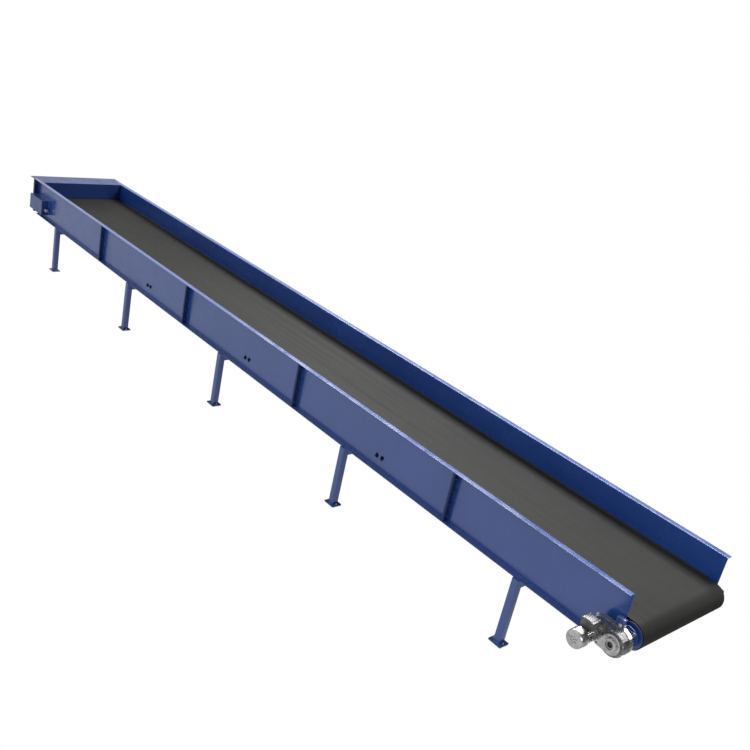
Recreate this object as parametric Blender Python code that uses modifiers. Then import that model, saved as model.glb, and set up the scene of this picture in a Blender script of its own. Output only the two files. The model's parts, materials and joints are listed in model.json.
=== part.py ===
"""Slider-bed belt conveyor, about ten metres long, with its drive unit and its screw take-up.

X runs along the conveyor from the tail to the drive, Y across it with the drive unit on the -Y side, Z up.
Parts are laid out from the first splice of the side frames (x = 0), the centre line (y = 0) and the floor
(z = 0). They hang on one parent empty, which moves the whole conveyor so that it stands centred on the
world origin.
"""

import math

import bmesh
import bpy

NEAR = -1  # the side with the drive unit
FAR = 1
SIDES = (NEAR, FAR)
SIDE_NAMES = {NEAR: "near", FAR: "far"}

# ---------------------------------------------------------------- driving dimensions, metres

GAP = 0.0003  # clearance between pieces that touch
MARGIN = 0.02  # how far a cutter runs past the face that it opens
ROUND = 32  # sides of a turned piece
BORE_REACH = 0.2  # length of a cutter that bores right through a bearing

SECTION_LENGTH = 2.0
SECTION_COUNT = 5
TAIL_END_X = -0.143
FRAME_END_X = {NEAR: 9.605, FAR: 9.650}  # the near web stops short, to leave room for the drive unit
HALF_WIDTH = 0.538  # centre line to the inner face of a web
FRAME_Z = 0.556  # floor to the underside of the side frames
FRAME_HEIGHT = 0.430
FRAME_TOP = FRAME_Z + FRAME_HEIGHT
SHEET = 0.005
FLANGE = 0.052  # width of a channel, web and flange together
SPLICE_PLATE = 0.010

BELT_WIDTH = 1.000
BELT_THICKNESS = 0.005
BELT_RADIUS = 0.102  # outer face of the belt on a pulley
BELT_INNER_RADIUS = BELT_RADIUS - BELT_THICKNESS
AXIS_Z = FRAME_Z + 0.128  # height of both pulley axes
DRIVE_X = 9.650
TAIL_X = 0.090
PULLEY_RADIUS = 0.096
PULLEY_FACE = 1.020
LAGGING = 0.0075
DRUM_WALL = 0.008
DRUM_DISC = 0.012  # the end discs of a pulley or a roller
SHAFT_RADIUS = 0.025
TAIL_SHAFT_RADIUS = 0.020
TAIL_SHAFT_CLEARANCE = 0.003  # in the slots that it slides along

BED_TOP = AXIS_Z + BELT_INNER_RADIUS - GAP
BED_DEPTH = 0.050
BED_SHEET = 0.003
BED_GAP = 0.001  # from the end of a pan to the joint between two sections
BED_START_X = 0.270
BED_END_X = 9.565

COVER_END_X = 0.180
SKIRT_CLEARANCE = 0.006  # tail cover's inner skirt over the belt

LEG_OFFSET = 0.777  # leg behind each section's tail splice
LEG_TUBE = 0.060
LEG_WALL = 0.003
LEG_Y = HALF_WIDTH + 0.035
CROSS_BEAM_DROP = 0.010  # frame underside to the top of a cross beam
FOOT_LENGTH = 0.120
FOOT_WIDTH = 0.100
FOOT_PLATE = 0.010

ROLLER_OFFSET = 1.170  # return roller behind the tail splice of sections 2, 3 and 4
ROLLER_RADIUS = 0.030
ROLLER_FACE = 1.030
AXLE_RADIUS = 0.010
ROLLER_WALL = 0.003
ROLLER_Z = AXIS_Z - BELT_RADIUS - ROLLER_RADIUS - GAP
BRACKET_SHEET = 0.006
BRACKET_WIDTH = 0.095
BRACKET_EYE_RADIUS = 0.022
BRACKET_BOLT_HOLE = 0.006  # radius
BRACKET_WAIST_Z = FRAME_Z + 0.075
BRACKET_TOP_Z = FRAME_Z + 0.140
SLOT_Z = FRAME_Z + 0.109
SLOT_HALF_SPACING = 0.0325
SLOT_WIDTH = 0.026
SLOT_HEIGHT = 0.050

TAKE_UP_TRAVEL = 0.080
TAKE_UP_START_X = SPLICE_PLATE + 2 * GAP
TAKE_UP_END_X = 0.390
TAKE_UP_DEPTH = 0.100
TAKE_UP_BOTTOM = FRAME_Z + 0.060
TAKE_UP_TOP = FRAME_Z + 0.245
TAKE_UP_WALL = 0.006
TAKE_UP_BLOCK = 0.080
TAKE_UP_BLOCK_DEPTH = (0.012, 0.088)
TAKE_UP_SLACK = 0.0005
TAIL_SHAFT_OVERHANG = 0.080  # outside the inner face of a web
TAKE_UP_SCREW_RADIUS = 0.010
TAKE_UP_SCREW_END_X = 0.430
SCREW_HEAD_RADIUS = 0.022
SCREW_HEAD = 0.026
SCREW_COLLAR_RADIUS = 0.016
SCREW_COLLAR = 0.012
CORNER_RELIEF_X = 0.110  # the bottom flange is cut back this far at the tail

NOTCH_X = 9.530  # drive end: the web is cut back under the belt to let the shaft in
NOTCH_TOP = FRAME_Z + 0.192
BEARING_PLATE = 0.010
BEARING_PLATE_START_X = 9.390
BEARING_PLATE_BOTTOM = FRAME_Z + 0.053
BEARING_PLATE_TOP = FRAME_Z + 0.170
BEARING_FLANGE = 0.120
BEARING_CORNER = 0.018
BEARING_BOLT_HOLE = 0.0065  # radius
BEARING_FLANGE_THICKNESS = 0.014
BEARING_BOSS_RADIUS = 0.045
BEARING_HEIGHT = 0.042
BEARING_CHAMFER = (0.006, 0.008)
SHAFT_CLEARANCE = 0.004  # round the drive shaft in its bearing plates
DRIVE_SHAFT_STEP_DEPTH = 0.052  # where it slims down to enter the gear unit
DRIVE_SHAFT_OVERHANG = 0.004  # beyond the far bearing

TORQUE_BRACKET_X = 9.582
TORQUE_BRACKET_SHEET = 0.008
TORQUE_BRACKET_REACH = 0.155
TORQUE_BRACKET_BOTTOM = FRAME_Z + 0.235
TORQUE_BRACKET_TOP = FRAME_Z + 0.320
TORQUE_LUG_END_X = 9.650
TORQUE_LUG_DEPTH = (0.068, 0.098)
TORQUE_LUG_ROOT = 0.010  # how far the lug runs into the cover
TORQUE_LUG_TOP = FRAME_Z + 0.280

# Gear unit and motor. A "depth" is measured outward (-Y) from the inner face of the near web.
MOTOR_X = 9.515
MOTOR_Z = FRAME_Z + 0.145
GEAR_COVER_DEPTH = (0.065, 0.100)
GEAR_HOUSING_DEPTH = (0.100 + GAP, 0.165)
GEAR_FRONT_DEPTH = (0.165 + GAP, 0.178)
GEAR_WALL = 0.007
OUTPUT_CASE_RADIUS = 0.088
INPUT_CASE_RADIUS = 0.070
COVER_RIM = 0.004
HOLLOW_SHAFT_RADIUS = 0.030
HOLLOW_SHAFT_BORE = 0.020
HOLLOW_SHAFT_DEPTH = (0.068, 0.184)
THROUGH_DEPTH = (0.0, 0.3)  # a cutter that runs right through the gear unit
DRIVE_SHAFT_END_DEPTH = 0.168
HUB_RADIUS = 0.048
HUB_END_DEPTH = 0.190
FRONT_COVER_RADIUS = 0.070
FRONT_LUG_X = 9.555
FRONT_LUG_Z = FRAME_Z + 0.078
FRONT_LUG_RADIUS = 0.016
FRONT_LUG_HOLE = 0.007  # radius
FRONT_RELIEF = 0.002  # round the motor's flange

FIRST_MODULE = 0.0015
FIRST_TEETH = (13, 55)  # motor pinion, layshaft wheel
FIRST_DEPTH = (0.140, 0.155)
SECOND_MODULE = 0.002
SECOND_TEETH = (15, 73)  # layshaft pinion, output wheel
SECOND_DEPTH = (0.110, 0.135)
LAYSHAFT_RADIUS = 0.008
LAYSHAFT_DEPTH = (0.0725, 0.1575)
PINION_EXTRA = 0.0015  # a pinion is this much wider at each end than its wheel

MOTOR_FLANGE_RADIUS = 0.060
MOTOR_FLANGE_DEPTH = (0.165 + GAP, 0.1775)
MOTOR_BODY_END_DEPTH = 0.325
MOTOR_FIN_RADIUS = 0.058
MOTOR_FIN_ROOT = 0.051
MOTOR_FIN_COUNT = 24
MOTOR_BORE = 0.044
MOTOR_END_WALL = 0.008
MOTOR_SHAFT_HOLE_DEPTH = (0.1, 0.4)
ROTOR_RADIUS = 0.030
ROTOR_DEPTH = (0.205, 0.300)
ROTOR_SHAFT_RADIUS = 0.009
ROTOR_SHAFT_END_DEPTH = 0.372
FAN_DEPTH = (0.340, 0.366)
FAN_RADIUS = 0.056
FAN_BLADES = 6
FAN_HUB_RADIUS = 0.018
FAN_DISC = 0.003
FAN_BLADE = 0.002  # thickness
FAN_BLADE_ROOT = 0.004  # how far a blade runs into the hub
FAN_BORE_DEPTH = (0.3, 0.4)
COWL_RADIUS = 0.066
COWL_WALL = 0.002
COWL_DEPTH = (0.322, 0.395)
COWL_SLOTS = 8
COWL_SLOT_LENGTH = 0.032
COWL_SLOT_WIDTH = 0.007
COWL_SLOT_REACH = 0.034  # cowl axis to the middle of a slot
COWL_ROUND_OFF = 0.006
TERMINAL_BOX_WIDTH = 0.090
TERMINAL_BOX_DEPTH = (0.215, 0.300)
TERMINAL_BOX_HEIGHT = 0.050
TERMINAL_LID = 0.009
TERMINAL_WALL = 0.004
GLAND_RADIUS = 0.011
GLAND_BORE = 0.006
GLAND_LENGTH = 0.018

# The bounding box in the layout's own coordinates, which puts the world origin under its centre.
LAYOUT_CENTRE_X = (TAIL_END_X + DRIVE_X + BELT_RADIUS) / 2
LAYOUT_CENTRE_Y = (-HALF_WIDTH - COWL_DEPTH[1] + HALF_WIDTH + TAKE_UP_DEPTH) / 2

FACING_Y = (math.pi / 2, 0, 0)  # an outline of (x, z) points, extruded along Y
AXIS_ALONG_X = (0, math.pi / 2, 0)
AXIS_OUTWARD = {NEAR: (math.pi / 2, 0, 0), FAR: (-math.pi / 2, 0, 0)}


# ---------------------------------------------------------------- scene and materials

for old_object in list(bpy.data.objects):
    bpy.data.objects.remove(old_object, do_unlink=True)

MODEL = bpy.data.collections.new("belt_conveyor")
CUTTERS = bpy.data.collections.new("cutters")
bpy.context.scene.collection.children.link(MODEL)
bpy.context.scene.collection.children.link(CUTTERS)

ROOT = bpy.data.objects.new("conveyor_origin", None)
ROOT.location = (-LAYOUT_CENTRE_X, -LAYOUT_CENTRE_Y, 0)
MODEL.objects.link(ROOT)


def make_material(name, colour, roughness, metallic):
    material = bpy.data.materials.new(name)
    material.use_nodes = True
    shader = material.node_tree.nodes["Principled BSDF"]
    shader.inputs["Base Color"].default_value = (*colour, 1.0)
    shader.inputs["Roughness"].default_value = roughness
    shader.inputs["Metallic"].default_value = metallic
    return material


FRAME_BLUE = make_material("frame_blue", (0.035, 0.080, 0.300), 0.35, 0.0)
PULLEY_BLUE = make_material("pulley_blue", (0.022, 0.055, 0.240), 0.40, 0.0)
BELT_GREY = make_material("belt_grey", (0.065, 0.066, 0.060), 0.65, 0.0)
LAGGING_RUBBER = make_material("lagging_rubber", (0.020, 0.020, 0.021), 0.80, 0.0)
BARE_STEEL = make_material("bare_steel", (0.52, 0.53, 0.55), 0.30, 1.0)
GALVANISED = make_material("galvanised", (0.60, 0.62, 0.64), 0.38, 1.0)
CAST_GREY = make_material("cast_grey", (0.075, 0.072, 0.075), 0.55, 0.0)
BEARING_GREEN_GREY = make_material("bearing_green_grey", (0.16, 0.19, 0.18), 0.45, 0.0)
CAST_ALUMINIUM = make_material("cast_aluminium", (0.42, 0.42, 0.41), 0.45, 0.6)
GEAR_STEEL = make_material("gear_steel", (0.32, 0.31, 0.30), 0.35, 1.0)
FAN_PLASTIC = make_material("fan_plastic", (0.03, 0.03, 0.032), 0.50, 0.0)
TERMINAL_GREY = make_material("terminal_grey", (0.30, 0.30, 0.31), 0.45, 0.2)


# ---------------------------------------------------------------- modelling tools


def place(name, mesh, location, rotation, cutter):
    piece = bpy.data.objects.new(name, mesh)
    (CUTTERS if cutter else MODEL).objects.link(piece)
    piece.location = location
    piece.rotation_euler = rotation
    piece.parent = ROOT
    if cutter:
        piece.hide_render = True
        piece.display_type = "WIRE"
    return piece


def block(name, x_range, y_range, z_range, cutter=False):
    """A box between two values along each axis, with its origin at its centre."""
    ranges = (x_range, y_range, z_range)
    size = [abs(high - low) for low, high in ranges]
    centre = [(low + high) / 2 for low, high in ranges]
    shape = bmesh.new()
    bmesh.ops.create_cube(shape, size=1.0)
    bmesh.ops.scale(shape, vec=size, verts=shape.verts)
    mesh = bpy.data.meshes.new(name)
    shape.to_mesh(mesh)
    shape.free()
    return place(name, mesh, centre, (0, 0, 0), cutter)


def rod(name, radius, length, location, rotation, cutter=False, sides=ROUND):
    """A solid cylinder centred on its location."""
    shape = bmesh.new()
    bmesh.ops.create_cone(
        shape, cap_ends=True, segments=sides, radius1=radius, radius2=radius, depth=length
    )
    mesh = bpy.data.meshes.new(name)
    shape.to_mesh(mesh)
    shape.free()
    return place(name, mesh, location, rotation, cutter)


def turned(name, profile, location, rotation, hollow=False, cutter=False):
    """A lathe-turned piece. The profile's (radius, height) points run down its outer side; a hollow
    one comes back up its bore."""
    mesh = bpy.data.meshes.new(name)
    count = len(profile)
    edges = [(point, point + 1) for point in range(count - 1)]
    if hollow:
        edges.append((count - 1, 0))
    mesh.from_pydata([(radius, 0, height) for radius, height in profile], edges, [])
    piece = place(name, mesh, location, rotation, cutter)
    screw = piece.modifiers.new("turned", "SCREW")
    screw.steps = ROUND
    screw.render_steps = ROUND
    screw.use_merge_vertices = True
    screw.merge_threshold = 0.00001
    return piece


def prism(name, outlines, thickness, location, rotation, cutter=False):
    """A flat plate cut from one outline; further outlines are holes in it."""
    curve = bpy.data.curves.new(name, "CURVE")
    curve.dimensions = "2D"
    curve.fill_mode = "BOTH"
    curve.extrude = thickness / 2
    for outline in outlines:
        spline = curve.splines.new("POLY")
        spline.points.add(len(outline) - 1)
        for point, (across, up) in zip(spline.points, outline):
            point.co = (across, up, 0, 1)
        spline.use_cyclic_u = True
    drawn = place(name + "_outline", curve, (0, 0, 0), (0, 0, 0), False)
    graph = bpy.context.evaluated_depsgraph_get()
    mesh = bpy.data.meshes.new_from_object(drawn.evaluated_get(graph))
    bpy.data.objects.remove(drawn, do_unlink=True)
    weld(mesh)
    return place(name, mesh, location, rotation, cutter)


def weld(mesh):
    shape = bmesh.new()
    shape.from_mesh(mesh)
    bmesh.ops.remove_doubles(shape, verts=shape.verts, dist=0.000001)
    bmesh.ops.recalc_face_normals(shape, faces=shape.faces)
    shape.to_mesh(mesh)
    shape.free()


def combine(piece, tool, operation):
    modifier = piece.modifiers.new(tool.name, "BOOLEAN")
    modifier.operation = operation
    modifier.solver = "EXACT"
    modifier.object = tool


def cut(piece, tool):
    combine(piece, tool, "DIFFERENCE")


def join(piece, tool):
    combine(piece, tool, "UNION")


def finish(piece, material, smooth=False):
    """Applies the modifiers, so that copies can share the mesh, and gives the piece its material."""
    bpy.context.view_layer.update()
    graph = bpy.context.evaluated_depsgraph_get()
    mesh = bpy.data.meshes.new_from_object(piece.evaluated_get(graph))
    piece.modifiers.clear()
    piece.data = mesh
    mesh.name = piece.name
    mesh.materials.clear()
    mesh.materials.append(material)
    if smooth:
        mesh.shade_smooth()
        mesh.set_sharp_from_angle(angle=math.radians(35))
    else:
        mesh.shade_flat()
    return piece


def copy_of(piece, name, location):
    copy = bpy.data.objects.new(name, piece.data)
    MODEL.objects.link(copy)
    copy.location = location
    copy.rotation_euler = piece.rotation_euler
    copy.parent = ROOT
    return copy


# ---------------------------------------------------------------- outlines and small formulas


def outward(side, near_depth, far_depth):
    """The Y range between two depths outside the inner face of a side's web."""
    return tuple(sorted((side * (HALF_WIDTH + near_depth), side * (HALF_WIDTH + far_depth))))


def depth_y(depth):
    """The Y of a depth in the drive unit."""
    return NEAR * (HALF_WIDTH + depth)


def middle(span):
    return (span[0] + span[1]) / 2


def length_of(span):
    return abs(span[1] - span[0])


def bore_for(radius):
    """A faceted bore that a faceted shaft of this radius turns in without touching."""
    return radius / math.cos(math.pi / ROUND) + GAP


def arc(centre, radius, start, end, steps):
    """Points on an arc between two angles in degrees."""
    points = []
    for step in range(steps + 1):
        angle = math.radians(start + (end - start) * step / steps)
        points.append((centre[0] + radius * math.cos(angle), centre[1] + radius * math.sin(angle)))
    return points


def circle(centre, radius, sides=ROUND):
    return arc(centre, radius, 0, 360, sides)[:-1]


def hull_of_circles(first, first_radius, second, second_radius, steps=16):
    """The outline of a belt around two circles, the second one lying towards +X of the first."""
    span = math.dist(first, second)
    lean = math.degrees(math.atan2(second[1] - first[1], second[0] - first[0]))
    wrap = math.degrees(math.acos((first_radius - second_radius) / span))
    return (
        arc(second, second_radius, lean - wrap, lean + wrap, steps)
        + arc(first, first_radius, lean + wrap, lean + 360 - wrap, steps)
    )


def slot_outline(centre, width, height):
    """An upright or lying slot with round ends."""
    radius = min(width, height) / 2
    reach = abs(height - width) / 2
    if height > width:
        upper = arc((centre[0], centre[1] + reach), radius, 0, 180, 8)
        lower = arc((centre[0], centre[1] - reach), radius, 180, 360, 8)
        return upper + lower
    right = arc((centre[0] + reach, centre[1]), radius, -90, 90, 8)
    left = arc((centre[0] - reach, centre[1]), radius, 90, 270, 8)
    return right + left


def gear_outline(teeth, module):
    """A spur gear's outline. The teeth stop just inside the pitch circle, so meshed gears stay clear."""
    tip = module * teeth / 2 - GAP
    root = tip - 1.6 * module
    points = []
    for tooth in range(teeth):
        pitch_angle = 2 * math.pi / teeth
        for share, radius in ((-0.36, root), (-0.16, tip), (0.16, tip), (0.36, root)):
            angle = (tooth + share) * pitch_angle
            points.append((radius * math.cos(angle), radius * math.sin(angle)))
    return points


def finned_outline(fins, root, tip):
    """A motor body's outline: straight-sided cooling fins around a round tube."""
    points = []
    for fin in range(fins):
        pitch_angle = 2 * math.pi / fins
        for share, radius in ((-0.30, root), (-0.17, tip), (0.17, tip), (0.30, root)):
            angle = (fin + share) * pitch_angle
            points.append((radius * math.cos(angle), radius * math.sin(angle)))
    return points


def layshaft_centre():
    """Where the layshaft's axis lies: it meshes with the motor pinion and with the output wheel."""
    from_motor = FIRST_MODULE * sum(FIRST_TEETH) / 2
    from_output = SECOND_MODULE * sum(SECOND_TEETH) / 2
    span_x = DRIVE_X - MOTOR_X
    span_z = AXIS_Z - MOTOR_Z
    span = math.hypot(span_x, span_z)
    along = (from_motor**2 - from_output**2 + span**2) / (2 * span)
    aside = math.sqrt(from_motor**2 - along**2)
    return (
        MOTOR_X + (along * span_x - aside * span_z) / span,
        MOTOR_Z + (along * span_z + aside * span_x) / span,
    )


# ---------------------------------------------------------------- side frames, tail and bed


def side_channel(index, side):
    """One length of side frame: a channel open outward with a splice plate welded in at each joint."""
    name = f"side_channel_{SIDE_NAMES[side]}_{index + 1}"
    first = index == 0
    last = index == SECTION_COUNT - 1
    start = index * SECTION_LENGTH + GAP / 2
    end = FRAME_END_X[side] if last else (index + 1) * SECTION_LENGTH - GAP / 2
    pocket = (start + SPLICE_PLATE, end + MARGIN if last else end - SPLICE_PLATE)

    channel = block(name, (start, end), outward(side, 0, FLANGE), (FRAME_Z, FRAME_TOP))
    hollow = (FRAME_Z + SHEET, FRAME_TOP - SHEET)
    cut(channel, block(name + "_hollow", pocket, outward(side, SHEET, FLANGE + MARGIN), hollow, True))

    if first:
        cut_tail_openings(channel, side)
    elif last:
        cut_drive_notch(channel, side)
    else:
        cut_bracket_slots(channel, index, side)
    if last and side == NEAR:
        join(channel, torque_bracket())
    return finish(channel, FRAME_BLUE)


def cut_tail_openings(channel, side):
    """The slot that the tail shaft slides in, and the bottom flange cut back at the corner."""
    web_y = side * (HALF_WIDTH + SHEET / 2)
    clearance = 2 * (TAIL_SHAFT_RADIUS + TAIL_SHAFT_CLEARANCE)
    slot = slot_outline((TAIL_X + TAKE_UP_TRAVEL / 2, AXIS_Z), TAKE_UP_TRAVEL + clearance, clearance)
    cut(channel, prism("tail_slot", [slot], 2 * SHEET, (0, web_y, 0), FACING_Y, True))
    relief_y = outward(side, SHEET, FLANGE + MARGIN)
    relief_z = (FRAME_Z - MARGIN, TAKE_UP_BOTTOM)
    cut(channel, block("corner_relief", (-MARGIN, CORNER_RELIEF_X), relief_y, relief_z, True))


def cut_drive_notch(channel, side):
    notch_y = outward(side, -MARGIN, FLANGE + MARGIN)
    notch_x = (NOTCH_X, FRAME_END_X[side] + MARGIN)
    notch_z = (FRAME_Z - MARGIN, NOTCH_TOP)
    cut(channel, block("drive_notch", notch_x, notch_y, notch_z, True))


def cut_bracket_slots(channel, index, side):
    """Two upright slots for the bolts of the return roller's bracket."""
    web_y = side * (HALF_WIDTH + SHEET / 2)
    for step in (-1, 1):
        slot_x = index * SECTION_LENGTH + ROLLER_OFFSET + step * SLOT_HALF_SPACING
        slot = slot_outline((slot_x, SLOT_Z), SLOT_WIDTH, SLOT_HEIGHT)
        cut(channel, prism("bracket_slot", [slot], 2 * SHEET, (0, web_y, 0), FACING_Y, True))


def torque_bracket():
    """The plate welded across the near web that takes the gear unit's torque."""
    return block(
        "torque_bracket",
        (TORQUE_BRACKET_X, TORQUE_BRACKET_X + TORQUE_BRACKET_SHEET),
        outward(NEAR, SHEET / 2, TORQUE_BRACKET_REACH),
        (TORQUE_BRACKET_BOTTOM, TORQUE_BRACKET_TOP),
        True,
    )


def tail_head():
    """The end of the frame behind the first splice, welded to the wide cover over the tail pulley."""
    splice_x = -GAP / 2
    inner = HALF_WIDTH - GAP
    skirt_bottom = AXIS_Z + BELT_RADIUS + SKIRT_CLEARANCE
    head = block("tail_head", (TAIL_END_X, COVER_END_X), (-inner, inner), (FRAME_TOP - SHEET, FRAME_TOP))
    pieces = [
        (
            (TAIL_END_X, splice_x),
            (-HALF_WIDTH - FLANGE, HALF_WIDTH + FLANGE),
            (FRAME_TOP - SHEET, FRAME_TOP),
        ),
        (
            (TAIL_END_X, TAIL_END_X + SHEET),
            (-HALF_WIDTH - SHEET, HALF_WIDTH + SHEET),
            (FRAME_Z, FRAME_TOP),
        ),
        ((COVER_END_X - SHEET, COVER_END_X), (-inner, inner), (skirt_bottom, FRAME_TOP)),
    ]
    for side in SIDES:
        pieces.append(((TAIL_END_X, splice_x), outward(side, 0, SHEET), (FRAME_Z, FRAME_TOP)))
        pieces.append(
            (
                (splice_x - SPLICE_PLATE, splice_x),
                outward(side, 0, FLANGE),
                (TAKE_UP_BOTTOM, FRAME_TOP),
            )
        )
    for number, (x_range, y_range, z_range) in enumerate(pieces):
        join(head, block(f"tail_head_{number}", x_range, y_range, z_range, True))
    return finish(head, FRAME_BLUE)


def slider_bed(index):
    """A folded steel pan, open below, with one stiffening rib across its middle."""
    start = BED_START_X if index == 0 else index * SECTION_LENGTH + BED_GAP
    end = BED_END_X if index == SECTION_COUNT - 1 else (index + 1) * SECTION_LENGTH - BED_GAP
    inner = HALF_WIDTH - GAP
    name = f"slider_bed_{index + 1}"
    bed = block(name, (start, end), (-inner, inner), (BED_TOP - BED_DEPTH, BED_TOP))
    centre = (start + end) / 2
    pocket_y = (-inner + BED_SHEET, inner - BED_SHEET)
    pocket_z = (BED_TOP - BED_DEPTH - MARGIN, BED_TOP - BED_SHEET)
    cut(bed, block(name + "_a", (start + BED_SHEET, centre - BED_SHEET / 2), pocket_y, pocket_z, True))
    cut(bed, block(name + "_b", (centre + BED_SHEET / 2, end - BED_SHEET), pocket_y, pocket_z, True))
    return finish(bed, GALVANISED)


def leg_frame():
    """Two square posts on foot plates with a beam across under the frame, welded into one piece."""
    half = LEG_TUBE / 2
    bore = half - LEG_WALL
    post_top = FRAME_Z - GAP
    beam_top = FRAME_Z - CROSS_BEAM_DROP
    beam_z = (beam_top - LEG_TUBE, beam_top)
    frame = block("leg_frame_1", (-half, half), (-LEG_Y, LEG_Y), beam_z)
    for side in SIDES:
        centre = side * LEG_Y
        post_y = (centre - half, centre + half)
        foot_y = (centre - FOOT_WIDTH / 2, centre + FOOT_WIDTH / 2)
        foot_x = (-FOOT_LENGTH / 2, FOOT_LENGTH / 2)
        join(frame, block("post", (-half, half), post_y, (FOOT_PLATE / 2, post_top), True))
        join(frame, block("foot", foot_x, foot_y, (0, FOOT_PLATE), True))
    beam_bore_z = (beam_z[0] + LEG_WALL, beam_z[1] - LEG_WALL)
    cut(frame, block("beam_bore", (-bore, bore), (-LEG_Y, LEG_Y), beam_bore_z, True))
    for side in SIDES:
        centre = side * LEG_Y
        bore_y = (centre - bore, centre + bore)
        cut(frame, block("post_bore", (-bore, bore), bore_y, (FOOT_PLATE, post_top + MARGIN), True))
    return finish(frame, FRAME_BLUE)


def build_frame():
    for side in SIDES:
        for index in range(SECTION_COUNT):
            side_channel(index, side)
    tail_head()
    for index in range(SECTION_COUNT):
        slider_bed(index)
    first = leg_frame()
    first.location.x = LEG_OFFSET
    for index in range(1, SECTION_COUNT):
        leg_x = index * SECTION_LENGTH + LEG_OFFSET
        copy_of(first, f"leg_frame_{index + 1}", (leg_x, 0, first.location.z))


# ---------------------------------------------------------------- belt, pulleys and rollers


def belt():
    tail = (TAIL_X, AXIS_Z)
    drive = (DRIVE_X, AXIS_Z)
    loop = [
        hull_of_circles(tail, BELT_RADIUS, drive, BELT_RADIUS),
        hull_of_circles(tail, BELT_INNER_RADIUS, drive, BELT_INNER_RADIUS),
    ]
    return finish(prism("conveyor_belt", loop, BELT_WIDTH, (0, 0, 0), FACING_Y), BELT_GREY)


def drum(name, radius, bore, face, wall, location):
    """A tube with a disc in each end, bored through for its shaft."""
    half = face / 2
    profile = [
        (radius, half),
        (radius, -half),
        (bore, -half),
        (bore, DRUM_DISC - half),
        (radius - wall, DRUM_DISC - half),
        (radius - wall, half - DRUM_DISC),
        (bore, half - DRUM_DISC),
        (bore, half),
    ]
    return turned(name, profile, location, AXIS_OUTWARD[NEAR], hollow=True)


def drive_pulley():
    place_at = (DRIVE_X, 0, AXIS_Z)
    shell_radius = PULLEY_RADIUS - LAGGING
    drum_bore = SHAFT_RADIUS + GAP
    shell = drum("drive_pulley", shell_radius - GAP, drum_bore, PULLEY_FACE, DRUM_WALL, place_at)
    finish(shell, PULLEY_BLUE, smooth=True)
    half = PULLEY_FACE / 2
    sleeve = [
        (PULLEY_RADIUS, half),
        (PULLEY_RADIUS, -half),
        (shell_radius, -half),
        (shell_radius, half),
    ]
    lagging = turned("drive_pulley_lagging", sleeve, place_at, AXIS_OUTWARD[NEAR], hollow=True)
    finish(lagging, LAGGING_RUBBER, smooth=True)


def drive_shaft():
    """Steps down where it enters the gear unit's hollow shaft. Heights grow towards the drive unit."""
    step = HALF_WIDTH + DRIVE_SHAFT_STEP_DEPTH
    far_end = -HALF_WIDTH - BEARING_HEIGHT - DRIVE_SHAFT_OVERHANG
    slim = HOLLOW_SHAFT_BORE - GAP
    profile = [
        (0, HALF_WIDTH + DRIVE_SHAFT_END_DEPTH),
        (slim, HALF_WIDTH + DRIVE_SHAFT_END_DEPTH),
        (slim, step),
        (SHAFT_RADIUS, step),
        (SHAFT_RADIUS, far_end),
        (0, far_end),
    ]
    shaft = turned("drive_shaft", profile, (DRIVE_X, 0, AXIS_Z), AXIS_OUTWARD[NEAR])
    return finish(shaft, BARE_STEEL, smooth=True)


def bearing_plate(side):
    """Carries a drive bearing past the end of the web; its nose is round about the shaft."""
    nose_radius = AXIS_Z - BEARING_PLATE_BOTTOM
    shoulder = math.degrees(math.asin((BEARING_PLATE_TOP - AXIS_Z) / nose_radius))
    outline = [(BEARING_PLATE_START_X, BEARING_PLATE_TOP), (BEARING_PLATE_START_X, BEARING_PLATE_BOTTOM)]
    outline += arc((DRIVE_X, AXIS_Z), nose_radius, -90, 180 - shoulder, 24)
    shaft_hole = circle((DRIVE_X, AXIS_Z), SHAFT_RADIUS + SHAFT_CLEARANCE)
    name = f"bearing_plate_{SIDE_NAMES[side]}"
    plate_y = side * (HALF_WIDTH - GAP - BEARING_PLATE / 2)
    plate = prism(name, [outline, shaft_hole], BEARING_PLATE, (0, plate_y, 0), FACING_Y)
    return finish(plate, PULLEY_BLUE)


def bearing_housing(side):
    """A square flange unit: four bolt holes around a round boss."""
    name = f"bearing_housing_{SIDE_NAMES[side]}"
    half = BEARING_FLANGE / 2
    flange = []
    for quarter, (x_sign, z_sign) in enumerate(((1, 1), (-1, 1), (-1, -1), (1, -1))):
        centre = (x_sign * (half - BEARING_CORNER), z_sign * (half - BEARING_CORNER))
        flange += arc(centre, BEARING_CORNER, 90 * quarter, 90 * quarter + 90, 4)
    bolt = half - BEARING_CORNER
    bolt_places = [(x * bolt, z * bolt) for x in (-1, 1) for z in (-1, 1)]
    holes = [circle(bolt_place, BEARING_BOLT_HOLE, 12) for bolt_place in bolt_places]
    flange_y = side * (HALF_WIDTH + BEARING_FLANGE_THICKNESS / 2)
    flange_at = (DRIVE_X, flange_y, AXIS_Z)
    housing = prism(name, [flange] + holes, BEARING_FLANGE_THICKNESS, flange_at, FACING_Y)
    boss_start = BEARING_FLANGE_THICKNESS / 3
    boss = [
        (0, BEARING_HEIGHT),
        (BEARING_BOSS_RADIUS - BEARING_CHAMFER[0], BEARING_HEIGHT),
        (BEARING_BOSS_RADIUS, BEARING_HEIGHT - BEARING_CHAMFER[1]),
        (BEARING_BOSS_RADIUS, boss_start),
        (0, boss_start),
    ]
    web_at = (DRIVE_X, side * HALF_WIDTH, AXIS_Z)
    join(housing, turned(name + "_boss", boss, web_at, AXIS_OUTWARD[side], cutter=True))
    bore = bore_for(SHAFT_RADIUS)
    cut(housing, rod(name + "_bore", bore, BORE_REACH, web_at, AXIS_OUTWARD[side], cutter=True))
    return finish(housing, BEARING_GREEN_GREY, smooth=True)


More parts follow.
